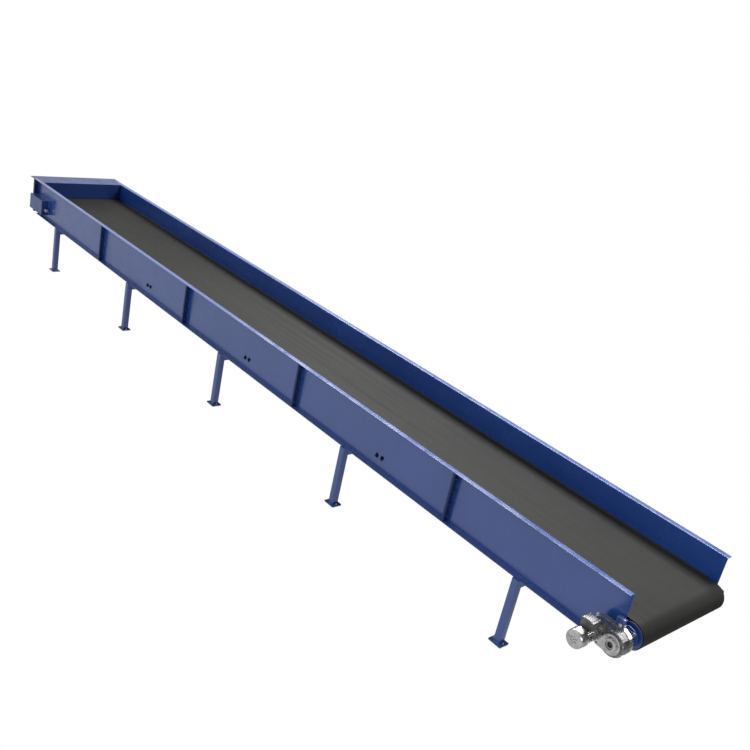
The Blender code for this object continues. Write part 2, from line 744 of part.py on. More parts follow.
def tail_pulley():
    place_at = (TAIL_X, 0, AXIS_Z)
    bore = TAIL_SHAFT_RADIUS + GAP
    pulley = drum("tail_pulley", PULLEY_RADIUS, bore, PULLEY_FACE, DRUM_WALL, place_at)
    finish(pulley, PULLEY_BLUE, smooth=True)
    length = 2 * (HALF_WIDTH + TAIL_SHAFT_OVERHANG)
    shaft = rod("tail_shaft", TAIL_SHAFT_RADIUS, length, place_at, AXIS_OUTWARD[NEAR])
    finish(shaft, BARE_STEEL, smooth=True)


def return_rollers():
    """A roller on a fixed axle between two drop brackets, under sections 2, 3 and 4."""
    axle_half = HALF_WIDTH - GAP
    for number, index in enumerate(range(1, SECTION_COUNT - 1), start=1):
        roller_x = index * SECTION_LENGTH + ROLLER_OFFSET
        place_at = (roller_x, 0, ROLLER_Z)
        bore = bore_for(AXLE_RADIUS)
        name = f"return_roller_{number}"
        roller = drum(name, ROLLER_RADIUS, bore, ROLLER_FACE, ROLLER_WALL, place_at)
        finish(roller, GALVANISED, smooth=True)
        axle = rod(f"return_axle_{number}", AXLE_RADIUS, 2 * axle_half, place_at, AXIS_OUTWARD[NEAR])
        finish(axle, BARE_STEEL, smooth=True)
        for side in SIDES:
            return_bracket(number, roller_x, side)


def return_bracket(number, roller_x, side):
    """Drops from the web to the roller's axle, and can be set up or down in the web's slots."""
    half = BRACKET_WIDTH / 2
    outline = [(-half, BRACKET_WAIST_Z), (-BRACKET_EYE_RADIUS, ROLLER_Z)]
    outline += arc((0, ROLLER_Z), BRACKET_EYE_RADIUS, 180, 360, 12)[1:]
    outline += [(half, BRACKET_WAIST_Z), (half, BRACKET_TOP_Z), (-half, BRACKET_TOP_Z)]
    bolt_places = [(step * SLOT_HALF_SPACING, SLOT_Z) for step in (-1, 1)]
    holes = [circle(bolt_place, BRACKET_BOLT_HOLE, 12) for bolt_place in bolt_places]
    holes.append(circle((0, ROLLER_Z), bore_for(AXLE_RADIUS)))
    bracket_y = side * (HALF_WIDTH - GAP - BRACKET_SHEET / 2)
    name = f"return_bracket_{SIDE_NAMES[side]}_{number}"
    bracket = prism(name, [outline] + holes, BRACKET_SHEET, (roller_x, bracket_y, 0), FACING_Y)
    return finish(bracket, GALVANISED)


# ---------------------------------------------------------------- take-up


def take_up_frame(side):
    """A box against the web, open towards it, that guides the sliding bearing block."""
    name = f"take_up_frame_{SIDE_NAMES[side]}"
    x_range = (TAKE_UP_START_X, TAKE_UP_END_X)
    frame = block(name, x_range, outward(side, SHEET + GAP, TAKE_UP_DEPTH), (TAKE_UP_BOTTOM, TAKE_UP_TOP))
    pocket_x = (TAKE_UP_START_X + TAKE_UP_WALL, TAKE_UP_END_X - TAKE_UP_WALL)
    pocket_y = outward(side, 0, TAKE_UP_DEPTH - TAKE_UP_WALL)
    pocket_z = (TAKE_UP_BOTTOM + TAKE_UP_WALL, TAKE_UP_TOP - TAKE_UP_WALL)
    cut(frame, block(name + "_pocket", pocket_x, pocket_y, pocket_z, True))
    hole_at = (TAKE_UP_END_X, side * (HALF_WIDTH + TAKE_UP_DEPTH / 2), AXIS_Z)
    hole = bore_for(TAKE_UP_SCREW_RADIUS)
    cut(frame, rod(name + "_hole", hole, 2 * MARGIN, hole_at, AXIS_ALONG_X, cutter=True))
    return finish(frame, FRAME_BLUE)


def take_up_block(side):
    """The tail shaft's bearing block, which slides between the top and the bottom of its frame."""
    name = f"take_up_block_{SIDE_NAMES[side]}"
    x_range = (TAIL_X - TAKE_UP_BLOCK / 2, TAIL_X + TAKE_UP_BLOCK / 2)
    z_range = (TAKE_UP_BOTTOM + TAKE_UP_WALL + TAKE_UP_SLACK, TAKE_UP_TOP - TAKE_UP_WALL - TAKE_UP_SLACK)
    carrier = block(name, x_range, outward(side, *TAKE_UP_BLOCK_DEPTH), z_range)
    bore_at = (TAIL_X, side * (HALF_WIDTH + TAKE_UP_DEPTH / 2), AXIS_Z)
    bore = bore_for(TAIL_SHAFT_RADIUS)
    cut(carrier, rod(name + "_bore", bore, BORE_REACH, bore_at, AXIS_OUTWARD[side], cutter=True))
    return finish(carrier, BEARING_GREEN_GREY, smooth=True)


def take_up_screw(side):
    """Pushes the bearing block. It turns in the frame's end wall and moves along with the block."""
    name = f"take_up_screw_{SIDE_NAMES[side]}"
    start = TAIL_X + TAKE_UP_BLOCK / 2 + GAP
    screw_y = side * (HALF_WIDTH + TAKE_UP_DEPTH / 2)
    stem_length = TAKE_UP_SCREW_END_X - start
    stem_at = (start + stem_length / 2, screw_y, AXIS_Z)
    screw = rod(name, TAKE_UP_SCREW_RADIUS, stem_length, stem_at, AXIS_ALONG_X)
    head_at = (TAKE_UP_SCREW_END_X, screw_y, AXIS_Z)
    head = rod(name + "_head", SCREW_HEAD_RADIUS, SCREW_HEAD, head_at, AXIS_ALONG_X, cutter=True, sides=6)
    join(screw, head)
    collar_at = (start + SCREW_COLLAR / 2, screw_y, AXIS_Z)
    collar = rod(name + "_collar", SCREW_COLLAR_RADIUS, SCREW_COLLAR, collar_at, AXIS_ALONG_X, cutter=True)
    join(screw, collar)
    return finish(screw, BARE_STEEL, smooth=True)


# ---------------------------------------------------------------- gear unit and motor

OUTPUT = (DRIVE_X, AXIS_Z)
INPUT = (MOTOR_X, MOTOR_Z)
OUTPUT_LOCAL = (0, 0)
INPUT_LOCAL = (MOTOR_X - DRIVE_X, MOTOR_Z - AXIS_Z)


def depth_plate(name, outlines, depth, centre, cutter=False):
    """A prism between two depths of the drive unit, its outlines drawn about a centre."""
    location = (centre[0], depth_y(middle(depth)), centre[1])
    return prism(name, outlines, length_of(depth), location, FACING_Y, cutter)


def depth_rod(name, radius, depth, centre, cutter=False):
    location = (centre[0], depth_y(middle(depth)), centre[1])
    return rod(name, radius, length_of(depth), location, AXIS_OUTWARD[NEAR], cutter)


def case_outline(growth):
    return hull_of_circles(
        INPUT_LOCAL, INPUT_CASE_RADIUS + growth, OUTPUT_LOCAL, OUTPUT_CASE_RADIUS + growth, 12
    )


def gear_case():
    """The dark housing, open towards the belt, and the light cover that closes it there."""
    housing = depth_plate("gear_housing", [case_outline(0)], GEAR_HOUSING_DEPTH, OUTPUT)
    cavity = (GEAR_HOUSING_DEPTH[0] - MARGIN, GEAR_HOUSING_DEPTH[1] - GEAR_WALL)
    cut(housing, depth_plate("housing_cavity", [case_outline(-GEAR_WALL)], cavity, OUTPUT, True))
    shaft_hole = bore_for(HOLLOW_SHAFT_RADIUS)
    cut(housing, depth_rod("housing_output", shaft_hole, THROUGH_DEPTH, OUTPUT, True))
    cut(housing, depth_rod("housing_input", bore_for(ROTOR_SHAFT_RADIUS), THROUGH_DEPTH, INPUT, True))
    finish(housing, CAST_GREY, smooth=True)

    cover = depth_plate("gear_inboard_cover", [case_outline(COVER_RIM)], GEAR_COVER_DEPTH, OUTPUT)
    recess = (GEAR_COVER_DEPTH[0] + GEAR_WALL, GEAR_COVER_DEPTH[1] + MARGIN)
    cut(cover, depth_plate("cover_cavity", [case_outline(-GEAR_WALL)], recess, OUTPUT, True))
    lug_x = (TORQUE_BRACKET_X + TORQUE_BRACKET_SHEET + GAP, TORQUE_LUG_END_X)
    lug_z = (AXIS_Z + OUTPUT_CASE_RADIUS - TORQUE_LUG_ROOT, TORQUE_LUG_TOP)
    join(cover, block("torque_lug", lug_x, outward(NEAR, *TORQUE_LUG_DEPTH), lug_z, True))
    cut(cover, depth_rod("cover_output", shaft_hole, THROUGH_DEPTH, OUTPUT, True))
    finish(cover, CAST_ALUMINIUM, smooth=True)


def gear_front_cover():
    """The outboard cover around the hollow shaft, with a lug low on its tail side."""
    lug = (FRONT_LUG_X - DRIVE_X, FRONT_LUG_Z - AXIS_Z)
    outline = hull_of_circles(lug, FRONT_LUG_RADIUS, OUTPUT_LOCAL, FRONT_COVER_RADIUS, 12)
    lug_hole = circle(lug, FRONT_LUG_HOLE, 12)
    cover = depth_plate("gear_front_cover", [outline, lug_hole], GEAR_FRONT_DEPTH, OUTPUT)
    hub_depth = (middle(GEAR_FRONT_DEPTH), HUB_END_DEPTH)
    join(cover, depth_rod("front_hub", HUB_RADIUS, hub_depth, OUTPUT, True))
    relief = MOTOR_FLANGE_RADIUS + FRONT_RELIEF
    cut(cover, depth_rod("motor_relief", relief, THROUGH_DEPTH, INPUT, True))
    cut(cover, depth_rod("front_bore", bore_for(HOLLOW_SHAFT_RADIUS), THROUGH_DEPTH, OUTPUT, True))
    return finish(cover, CAST_ALUMINIUM, smooth=True)


def output_wheel():
    wheel = depth_plate(
        "output_wheel", [gear_outline(SECOND_TEETH[1], SECOND_MODULE)], SECOND_DEPTH, OUTPUT
    )
    join(wheel, depth_rod("hollow_shaft", HOLLOW_SHAFT_RADIUS, HOLLOW_SHAFT_DEPTH, OUTPUT, True))
    cut(wheel, depth_rod("hollow_shaft_bore", HOLLOW_SHAFT_BORE, THROUGH_DEPTH, OUTPUT, True))
    return finish(wheel, GEAR_STEEL)


def layshaft():
    centre = layshaft_centre()
    shaft = depth_rod("gear_layshaft", LAYSHAFT_RADIUS, LAYSHAFT_DEPTH, centre)
    pinion_outline = gear_outline(SECOND_TEETH[0], SECOND_MODULE)
    pinion_depth = (SECOND_DEPTH[0] - PINION_EXTRA, SECOND_DEPTH[1] + PINION_EXTRA)
    join(shaft, depth_plate("layshaft_pinion", [pinion_outline], pinion_depth, centre, True))
    wheel_outline = gear_outline(FIRST_TEETH[1], FIRST_MODULE)
    join(shaft, depth_plate("layshaft_wheel", [wheel_outline], FIRST_DEPTH, centre, True))
    return finish(shaft, GEAR_STEEL)


def motor_rotor():
    """The rotor core, its shaft and the pinion cut on the shaft's end."""
    shaft_depth = (FIRST_DEPTH[1] + GAP, ROTOR_SHAFT_END_DEPTH)
    rotor = depth_rod("motor_rotor", ROTOR_SHAFT_RADIUS, shaft_depth, INPUT)
    pinion_outline = gear_outline(FIRST_TEETH[0], FIRST_MODULE)
    pinion_depth = (FIRST_DEPTH[0] - PINION_EXTRA, FIRST_DEPTH[1] + PINION_EXTRA)
    join(rotor, depth_plate("motor_pinion", [pinion_outline], pinion_depth, INPUT, True))
    join(rotor, depth_rod("rotor_core", ROTOR_RADIUS, ROTOR_DEPTH, INPUT, True))
    return finish(rotor, GEAR_STEEL, smooth=True)


def motor_body():
    """The finned motor body with its mounting flange, bored for the rotor."""
    fins = finned_outline(MOTOR_FIN_COUNT, MOTOR_FIN_ROOT, MOTOR_FIN_RADIUS)
    body_depth = (middle(MOTOR_FLANGE_DEPTH), MOTOR_BODY_END_DEPTH)
    body = depth_plate("motor_body", [fins], body_depth, INPUT)
    join(body, depth_rod("motor_flange", MOTOR_FLANGE_RADIUS, MOTOR_FLANGE_DEPTH, INPUT, True))
    bore_depth = (MOTOR_FLANGE_DEPTH[0] + MOTOR_END_WALL, MOTOR_BODY_END_DEPTH - MOTOR_END_WALL)
    cut(body, depth_rod("motor_bore", MOTOR_BORE, bore_depth, INPUT, True))
    shaft_hole = bore_for(ROTOR_SHAFT_RADIUS)
    cut(body, depth_rod("motor_shaft_hole", shaft_hole, MOTOR_SHAFT_HOLE_DEPTH, INPUT, True))
    return finish(body, CAST_ALUMINIUM)


def cooling_fan():
    fan = depth_rod("cooling_fan", FAN_HUB_RADIUS, FAN_DEPTH, INPUT)
    disc_depth = (FAN_DEPTH[0], FAN_DEPTH[0] + FAN_DISC)
    half_depth = length_of(FAN_DEPTH) / 2
    join(fan, depth_rod("fan_disc", FAN_RADIUS, disc_depth, INPUT, True))
    for blade in range(FAN_BLADES):
        angle = 2 * math.pi * blade / FAN_BLADES
        reach = (FAN_HUB_RADIUS + FAN_RADIUS) / 2
        paddle = block(
            f"fan_blade_{blade}",
            (FAN_HUB_RADIUS - FAN_BLADE_ROOT, FAN_RADIUS - FAN_DISC / 3),
            (-FAN_BLADE / 2, FAN_BLADE / 2),
            (-half_depth + FAN_DISC / 3, half_depth - FAN_BLADE),
            True,
        )
        paddle.location = (
            INPUT[0] + reach * math.cos(angle),
            depth_y(middle(FAN_DEPTH)),
            INPUT[1] + reach * math.sin(angle),
        )
        paddle.rotation_euler = (math.pi / 2, -angle, 0)
        join(fan, paddle)
    cut(fan, depth_rod("fan_bore", ROTOR_SHAFT_RADIUS + GAP, FAN_BORE_DEPTH, INPUT, True))
    return finish(fan, FAN_PLASTIC)


def fan_cowl():
    """A pressed cup over the fan, slotted for air in its end."""
    front, back = COWL_DEPTH[1], COWL_DEPTH[0]
    inner = COWL_RADIUS - COWL_WALL
    half_round = COWL_ROUND_OFF * 0.3
    profile = [
        (0, front),
        (COWL_RADIUS - COWL_ROUND_OFF, front),
        (COWL_RADIUS - half_round, front - half_round),
        (COWL_RADIUS, front - COWL_ROUND_OFF),
        (COWL_RADIUS, back),
        (inner, back),
        (inner, front - COWL_ROUND_OFF),
        (inner - COWL_ROUND_OFF + half_round, front - COWL_WALL),
        (0, front - COWL_WALL),
    ]
    web_at = (INPUT[0], depth_y(0), INPUT[1])
    cowl = turned("fan_cowl", profile, web_at, AXIS_OUTWARD[NEAR])
    slot_x = (-COWL_SLOT_LENGTH / 2, COWL_SLOT_LENGTH / 2)
    slot_y = (-COWL_SLOT_WIDTH / 2, COWL_SLOT_WIDTH / 2)
    for slot in range(COWL_SLOTS):
        angle = 2 * math.pi * (slot + 0.5) / COWL_SLOTS
        opening = block(f"cowl_slot_{slot}", slot_x, slot_y, (-MARGIN / 2, MARGIN / 2), True)
        opening.location = (
            INPUT[0] + COWL_SLOT_REACH * math.cos(angle),
            depth_y(front),
            INPUT[1] + COWL_SLOT_REACH * math.sin(angle),
        )
        opening.rotation_euler = (math.pi / 2, -angle, 0)
        cut(cowl, opening)
    return finish(cowl, CAST_ALUMINIUM, smooth=True)


def terminal_box():
    """The connection box on the motor, its cable gland on the tail side, and its lid."""
    half = TERMINAL_BOX_WIDTH / 2
    x_range = (MOTOR_X - half, MOTOR_X + half)
    y_range = outward(NEAR, *TERMINAL_BOX_DEPTH)
    bottom = MOTOR_Z + MOTOR_FIN_RADIUS + GAP
    top = bottom + TERMINAL_BOX_HEIGHT
    box = block("terminal_box", x_range, y_range, (bottom, top))
    gland_z = (bottom + top) / 2
    gland_y = depth_y(middle(TERMINAL_BOX_DEPTH))
    gland_at = (x_range[0] - GLAND_LENGTH / 2 + TERMINAL_WALL / 2, gland_y, gland_z)
    join(box, rod("cable_gland", GLAND_RADIUS, GLAND_LENGTH, gland_at, AXIS_ALONG_X, cutter=True))
    hollow_x = (x_range[0] + TERMINAL_WALL, x_range[1] - TERMINAL_WALL)
    hollow_y = (y_range[0] + TERMINAL_WALL, y_range[1] - TERMINAL_WALL)
    cut(box, block("terminal_hollow", hollow_x, hollow_y, (bottom + TERMINAL_WALL, top + MARGIN), True))
    cut(box, rod("gland_bore", GLAND_BORE, 4 * GLAND_LENGTH, gland_at, AXIS_ALONG_X, cutter=True))
    finish(box, TERMINAL_GREY)
    lid = block("terminal_box_lid", x_range, y_range, (top + GAP, top + GAP + TERMINAL_LID))
    finish(lid, TERMINAL_GREY)


def build_drive_unit():
    gear_case()
    gear_front_cover()
    output_wheel()
    layshaft()
    motor_rotor()
    motor_body()
    cooling_fan()
    fan_cowl()
    terminal_box()


def build_conveyor():
    build_frame()
    belt()
    drive_pulley()
    drive_shaft()
    tail_pulley()
    return_rollers()
    for side in SIDES:
        bearing_plate(side)
        bearing_housing(side)
        take_up_frame(side)
        take_up_block(side)
        take_up_screw(side)
    build_drive_unit()


build_conveyor()
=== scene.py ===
"""Looks for the belt conveyor: fine detail, procedural materials, a pale studio and the camera."""

import json
import math

import bmesh
import bpy
from mathutils import Matrix, Vector


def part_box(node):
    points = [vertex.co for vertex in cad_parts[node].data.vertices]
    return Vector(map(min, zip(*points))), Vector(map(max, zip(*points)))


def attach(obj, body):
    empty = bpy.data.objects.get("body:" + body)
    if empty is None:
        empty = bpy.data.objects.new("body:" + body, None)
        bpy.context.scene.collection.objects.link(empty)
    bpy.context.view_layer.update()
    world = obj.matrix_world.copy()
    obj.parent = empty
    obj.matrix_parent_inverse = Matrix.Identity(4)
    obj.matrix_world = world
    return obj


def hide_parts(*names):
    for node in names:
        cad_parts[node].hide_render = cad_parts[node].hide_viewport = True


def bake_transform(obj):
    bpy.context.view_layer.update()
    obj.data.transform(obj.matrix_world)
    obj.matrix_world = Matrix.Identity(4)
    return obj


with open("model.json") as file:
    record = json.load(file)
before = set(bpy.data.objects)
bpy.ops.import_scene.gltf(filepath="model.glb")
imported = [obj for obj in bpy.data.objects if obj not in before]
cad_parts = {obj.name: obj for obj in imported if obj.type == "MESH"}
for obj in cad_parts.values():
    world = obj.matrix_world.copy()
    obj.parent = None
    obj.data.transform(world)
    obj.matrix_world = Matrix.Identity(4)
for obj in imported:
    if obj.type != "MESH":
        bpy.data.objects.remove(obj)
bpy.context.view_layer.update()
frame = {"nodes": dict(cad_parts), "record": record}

NEAR = -1  # the side with the drive unit
FAR = 1
SIDES = ((NEAR, "near"), (FAR, "far"))
X_AXIS = Vector((1, 0, 0))
Y_AXIS = Vector((0, 1, 0))
Z_AXIS = Vector((0, 0, 1))
OUTWARD = -Y_AXIS  # away from the frame, on the drive unit's side


# -------- places, all read from the frame


def middle_of(node):
    low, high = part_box(node)
    return (low + high) / 2


SECTIONS = 5
CORNERS = ((-1, -1), (-1, 1), (1, -1), (1, 1))
NEAR_CHANNEL_LOW, NEAR_CHANNEL_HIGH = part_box("side_channel_near_2")
FAR_CHANNEL_LOW, FAR_CHANNEL_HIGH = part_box("side_channel_far_2")
WEB_Y = {NEAR: NEAR_CHANNEL_HIGH.y, FAR: FAR_CHANNEL_LOW.y}  # the inner faces of the webs
FRAME_Z = NEAR_CHANNEL_LOW.z
FRAME_TOP = NEAR_CHANNEL_HIGH.z
FLANGE = FAR_CHANNEL_HIGH.y - WEB_Y[FAR]
DRIVE = middle_of("drive_pulley")
TAIL = middle_of("tail_pulley")
MOTOR = middle_of("motor_rotor")
BELT_LOW, BELT_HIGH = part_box("conveyor_belt")


def outside(side, depth):
    """The y at a depth outside the inner face of a side's web. A negative depth lies inside it."""
    return WEB_Y[side] + side * depth


def drive_place(x, depth, z):
    """A point at a depth outside the near web's inner face."""
    return Vector((x, outside(NEAR, depth), z))


# -------- materials


class NodeGraph:
    """Short names for making and joining the nodes of a material or of the sky."""

    def __init__(self, tree):
        self.nodes = tree.nodes
        self.links = tree.links

    def feed(self, node, inputs):
        """Links a socket to each input, or gives it a number, a vector or a colour of three parts."""
        for key, value in inputs.items():
            socket = node.inputs[key]
            if isinstance(value, bpy.types.NodeSocket):
                self.links.new(value, socket)
            elif socket.type == "RGBA":
                socket.default_value = (*value, 1.0)
            else:
                socket.default_value = value

    def node(self, kind, inputs, **settings):
        made = self.nodes.new(kind)
        for key, value in settings.items():
            setattr(made, key, value)
        self.feed(made, inputs)
        return made

    def between(self, value, low, high, out_low=0.0, out_high=1.0, curve="LINEAR"):
        """Maps a value from one range to another, held at both ends."""
        ends = {"From Min": low, "From Max": high, "To Min": out_low, "To Max": out_high}
        node = self.node("ShaderNodeMapRange", {"Value": value, **ends}, interpolation_type=curve)
        return node.outputs["Result"]

    def dot(self, first, second):
        node = self.node("ShaderNodeVectorMath", {0: first, 1: second}, operation="DOT_PRODUCT")
        return node.outputs["Value"]

    def times(self, first, second):
        return self.node("ShaderNodeMath", {0: first, 1: second}, operation="MULTIPLY").outputs["Value"]

    def white_in_view(self, strength):
        """A strength of light that is raised to 1 where the camera sees it directly."""
        seen = self.node("ShaderNodeLightPath", {}).outputs["Is Camera Ray"]
        return self.node("ShaderNodeMath", {0: seen, 1: strength}, operation="MAXIMUM").outputs["Value"]


class Surface(NodeGraph):
    """A Principled material and the patterns that its colour, roughness and bump are made of."""

    def __init__(self, name, colour, roughness, metallic=0.0, specular=0.5):
        self.material = bpy.data.materials.new(name)
        self.material.use_nodes = True
        super().__init__(self.material.node_tree)
        self.shader = self.nodes["Principled BSDF"]
        self.feed(self.shader, {"Base Color": colour, "Roughness": roughness})
        self.feed(self.shader, {"Metallic": metallic, "Specular IOR Level": specular})
        self.place = self.node("ShaderNodeTexCoord", {}).outputs["Object"]

    def noise(self, scale, detail=3.0, stretch=(1, 1, 1), roughness=0.55):
        mapping = self.node("ShaderNodeMapping", {"Vector": self.place, "Scale": stretch})
        inputs = {"Scale": scale, "Detail": detail, "Roughness": roughness}
        inputs["Vector"] = mapping.outputs["Vector"]
        return self.node("ShaderNodeTexNoise", inputs).outputs["Fac"]

    def mixed(self, share, first, second):
        """Mixes two colours, each a socket or three numbers. They are the node's inputs 6 and 7."""
        inputs = {"Factor": share, 6: first, 7: second}
        return self.node("ShaderNodeMix", inputs, data_type="RGBA").outputs[2]

    def normal(self):
        return self.node("ShaderNodeNewGeometry", {}).outputs["Normal"]

    def facing_up(self):
        parts = self.node("ShaderNodeSeparateXYZ", {"Vector": self.normal()})
        return self.between(parts.outputs["Z"], 0.3, 0.95)

    def edges(self, radius):
        """0 on flat faces, rising to 1 along outer and inner edges."""
        bevel = self.node("ShaderNodeBevel", {"Radius": radius}, samples=4)
        return self.between(self.dot(bevel.outputs["Normal"], self.normal()), 0.995, 0.85)

    def colour(self, socket):
        self.feed(self.shader, {"Base Color": socket})

    def rough(self, value, smooth, coarse):
        self.feed(self.shader, {"Roughness": self.between(value, 0.3, 0.7, smooth, coarse)})

    def bump(self, *layers):
        """Layers of (height socket, depth in metres)."""
        below = {}
        for height, depth in layers:
            inputs = {"Height": height, "Strength": 1.0, "Distance": depth, **below}
            below = {"Normal": self.node("ShaderNodeBump", inputs).outputs["Normal"]}
        self.feed(self.shader, below)


# Lilac blue mixed into faces that look up: painted sheen of the bright sky.
TOP_SHEEN_BLUE = (0.15, 0.19, 0.40)
DUST = (0.48, 0.46, 0.43)
RUBBED_EDGE = 0.0018  # how far wear reaches from an edge


def paint(name, colour, light, worn, roughness, shine=0.9):
    """Glossy enamel: faint cloudiness, orange peel, a painted sky sheen on top faces, chips and rubbed
    edges.
    """
    surface = Surface(name, colour, roughness, specular=shine)
    cloud = surface.noise(1.7, 4.0)
    tinted = surface.mixed(surface.between(cloud, 0.35, 0.7), colour, light)
    streaks = surface.noise(9.0, 3.0, (1.0, 1.0, 0.12))
    tinted = surface.mixed(surface.between(streaks, 0.52, 0.80, 0.0, 0.35), tinted, light)
    # Faces that look up turn lighter and lilac: painted sky sheen.
    top_sheen = surface.between(surface.noise(14.0, 5.0), 0.35, 0.75, 0.18, 0.32)
    tinted = surface.mixed(surface.times(surface.facing_up(), top_sheen), tinted, TOP_SHEEN_BLUE)
    patches = surface.between(surface.noise(45.0, 4.0), 0.54, 0.66)
    rubbed = surface.times(surface.edges(RUBBED_EDGE), patches)
    tinted = surface.mixed(surface.times(rubbed, 0.40), tinted, worn)
    chips = surface.between(surface.noise(120.0, 2.0), 0.765, 0.79)
    tinted = surface.mixed(surface.times(chips, 0.8), tinted, worn)
    surface.colour(tinted)
    surface.rough(surface.noise(6.0, 4.0), roughness - 0.04, roughness + 0.12)
    surface.bump((surface.noise(420.0, 2.0), 0.00006), (surface.noise(3.0, 2.0), 0.0008))
    return surface.material


def belt_cover():
    """Smooth PVC with a fine fabric imprint, long running marks and pale dust."""
    surface = Surface("belt_cover", (0.018, 0.018, 0.017), 0.60, specular=0.12)
    along = surface.noise(5.0, 5.0, (0.10, 3.2, 1.0))
    marks = surface.between(along, 0.30, 0.72)
    base = surface.mixed(marks, (0.015, 0.015, 0.0135), (0.023, 0.023, 0.0205))
    scuffs = surface.between(surface.noise(24.0, 6.0, (0.25, 1.6, 1.0), 0.7), 0.60, 0.78, 0.0, 0.35)
    base = surface.mixed(scuffs, base, (0.040, 0.039, 0.035))
    grime = surface.between(surface.noise(1.3, 3.0), 0.45, 0.75, 0.0, 0.45)
    base = surface.mixed(grime, base, (0.011, 0.011, 0.012))
    surface.colour(base)
    surface.rough(along, 0.52, 0.70)
    threads = {"Vector": surface.place, "Scale": 90.0, "Distortion": 0.6}
    weave = surface.node("ShaderNodeTexWave", threads, bands_direction="X")
    surface.bump((weave.outputs["Fac"], 0.00012), (surface.noise(650.0, 2.0), 0.00010), (along, 0.0004))
    return surface.material


def rubber():
    """Lagging rubber with a dusty grain."""
    surface = Surface("lagging_rubber", (0.020, 0.020, 0.021), 0.75)
    grain = surface.noise(60.0, 5.0)
    dusty = surface.between(grain, 0.35, 0.75)
    surface.colour(surface.mixed(dusty, (0.014, 0.014, 0.015), (0.045, 0.043, 0.040)))
    surface.rough(grain, 0.6, 0.9)
    surface.bump((surface.noise(500.0, 2.0), 0.0002))
    return surface.material


def turned_steel(name, tint, smooth, coarse):
    """Machined steel: fine tool marks around its axis and a few dull stains."""
    surface = Surface(name, tint, smooth, metallic=1.0)
    marks = surface.noise(340.0, 2.0, (0.15, 1.0, 0.15))
    stains = surface.noise(22.0, 4.0)
    dark = tuple(0.55 * part for part in tint)
    surface.colour(surface.mixed(surface.between(stains, 0.45, 0.75), tint, dark))
    surface.rough(stains, smooth, coarse)
    surface.bump((marks, 0.00004))
    return surface.material


def zinc():
    """Galvanised sheet with its spangle."""
    surface = Surface("galvanised_steel", (0.30, 0.31, 0.33), 0.48, metallic=0.9)
    flakes = surface.node("ShaderNodeTexVoronoi", {"Vector": surface.place, "Scale": 75.0})
    level = surface.node("ShaderNodeRGBToBW", {"Color": flakes.outputs["Color"]}).outputs["Val"]
    surface.colour(surface.mixed(surface.between(level, 0.2, 0.8), (0.20, 0.21, 0.23), (0.34, 0.35, 0.37)))
    surface.rough(level, 0.42, 0.58)
    surface.bump((level, 0.00003), (surface.noise(260.0, 2.0), 0.00003))
    return surface.material


def casting(name, colour, light, roughness, metallic=0.0):
    """A painted or bare casting: a sandy skin, dust on top and rubbed edges."""
    surface = Surface(name, colour, roughness, metallic)
    cloud = surface.noise(30.0, 4.0)
    tinted = surface.mixed(surface.between(cloud, 0.35, 0.7), colour, light)
    dust = surface.between(surface.noise(60.0, 4.0), 0.35, 0.7, 0.03, 0.20)
    tinted = surface.mixed(surface.times(surface.facing_up(), dust), tinted, DUST)
    patches = surface.between(surface.noise(90.0, 3.0), 0.42, 0.60)
    rubbed = surface.times(surface.edges(RUBBED_EDGE), patches)
    bare = tuple(min(0.8, 1.9 * part) for part in light)
    tinted = surface.mixed(surface.times(rubbed, 0.6), tinted, bare)
    surface.colour(tinted)
    surface.rough(cloud, roughness - 0.06, roughness + 0.10)
    surface.bump((surface.noise(380.0, 3.0), 0.00018), (surface.noise(70.0, 2.0), 0.0003))
    return surface.material


def moulded(name, colour, roughness):
    """A plain matt skin with a fine grain."""
    surface = Surface(name, colour, roughness)
    grain = surface.noise(900.0, 2.0)
    light = tuple(1.5 * part for part in colour)
    surface.colour(surface.mixed(surface.between(surface.noise(35.0, 4.0), 0.4, 0.75), colour, light))
    surface.rough(grain, roughness - 0.05, roughness + 0.1)
    surface.bump((grain, 0.00005))
    return surface.material


def grey(level, blue=0.0):
    """A grey, with a little more or less blue."""
    return (level, level, level + blue)


# One look for each material slot, then looks that some pieces have in place of their slot's own.
# A paint is given by its colour, its lighter patches, its worn spots, its roughness and its shine.
LOOKS = {
    "frame_paint": paint(
        "frame_paint", (0.009, 0.046, 0.215), (0.014, 0.056, 0.250), (0.09, 0.11, 0.17), 0.20
    ),
    "pulley_paint": paint(
        "pulley_paint", (0.009, 0.036, 0.165), (0.013, 0.046, 0.190), (0.08, 0.09, 0.13), 0.26
    ),
    "galvanised_steel": zinc(),
    "belt_cover": belt_cover(),
    "lagging_rubber": rubber(),
    "bright_steel": turned_steel("bright_steel", grey(0.62, 0.01), 0.22, 0.40),
    "bearing_casting": casting("bearing_casting", (0.060, 0.075, 0.085), (0.090, 0.105, 0.115), 0.42),
    "gear_casting": casting("gear_casting", grey(0.13, 0.005), grey(0.24, 0.005), 0.24, 0.85),
    "cast_aluminium": casting("cast_aluminium", grey(0.34, 0.005), grey(0.56), 0.20, 0.95),
    "gear_steel": turned_steel("gear_steel", (0.34, 0.33, 0.32), 0.30, 0.48),
    "fan_plastic": moulded("fan_plastic", grey(0.024, 0.002), 0.45),
    "terminal_box_grey": casting(
        "terminal_box_grey", (0.085, 0.083, 0.085), (0.14, 0.137, 0.140), 0.34, 0.4
    ),
}
# A much darker copy of the frame paint: painted shade on the splice plates, their bolts and the tail head.
PAINTED_SHADE_BLUE = paint(
    "painted_shade_blue", (0.004, 0.018, 0.086), (0.006, 0.023, 0.105), (0.06, 0.07, 0.11), 0.38, 0.3
)
# A darker, less glossy copy of the frame paint for the take-up frames: its darker colour is painted shade.
TAKE_UP_PAINTED_SHADE = paint(
    "take_up_painted_shade", (0.007, 0.034, 0.165), (0.010, 0.042, 0.195), (0.08, 0.10, 0.15), 0.26, 0.5
)
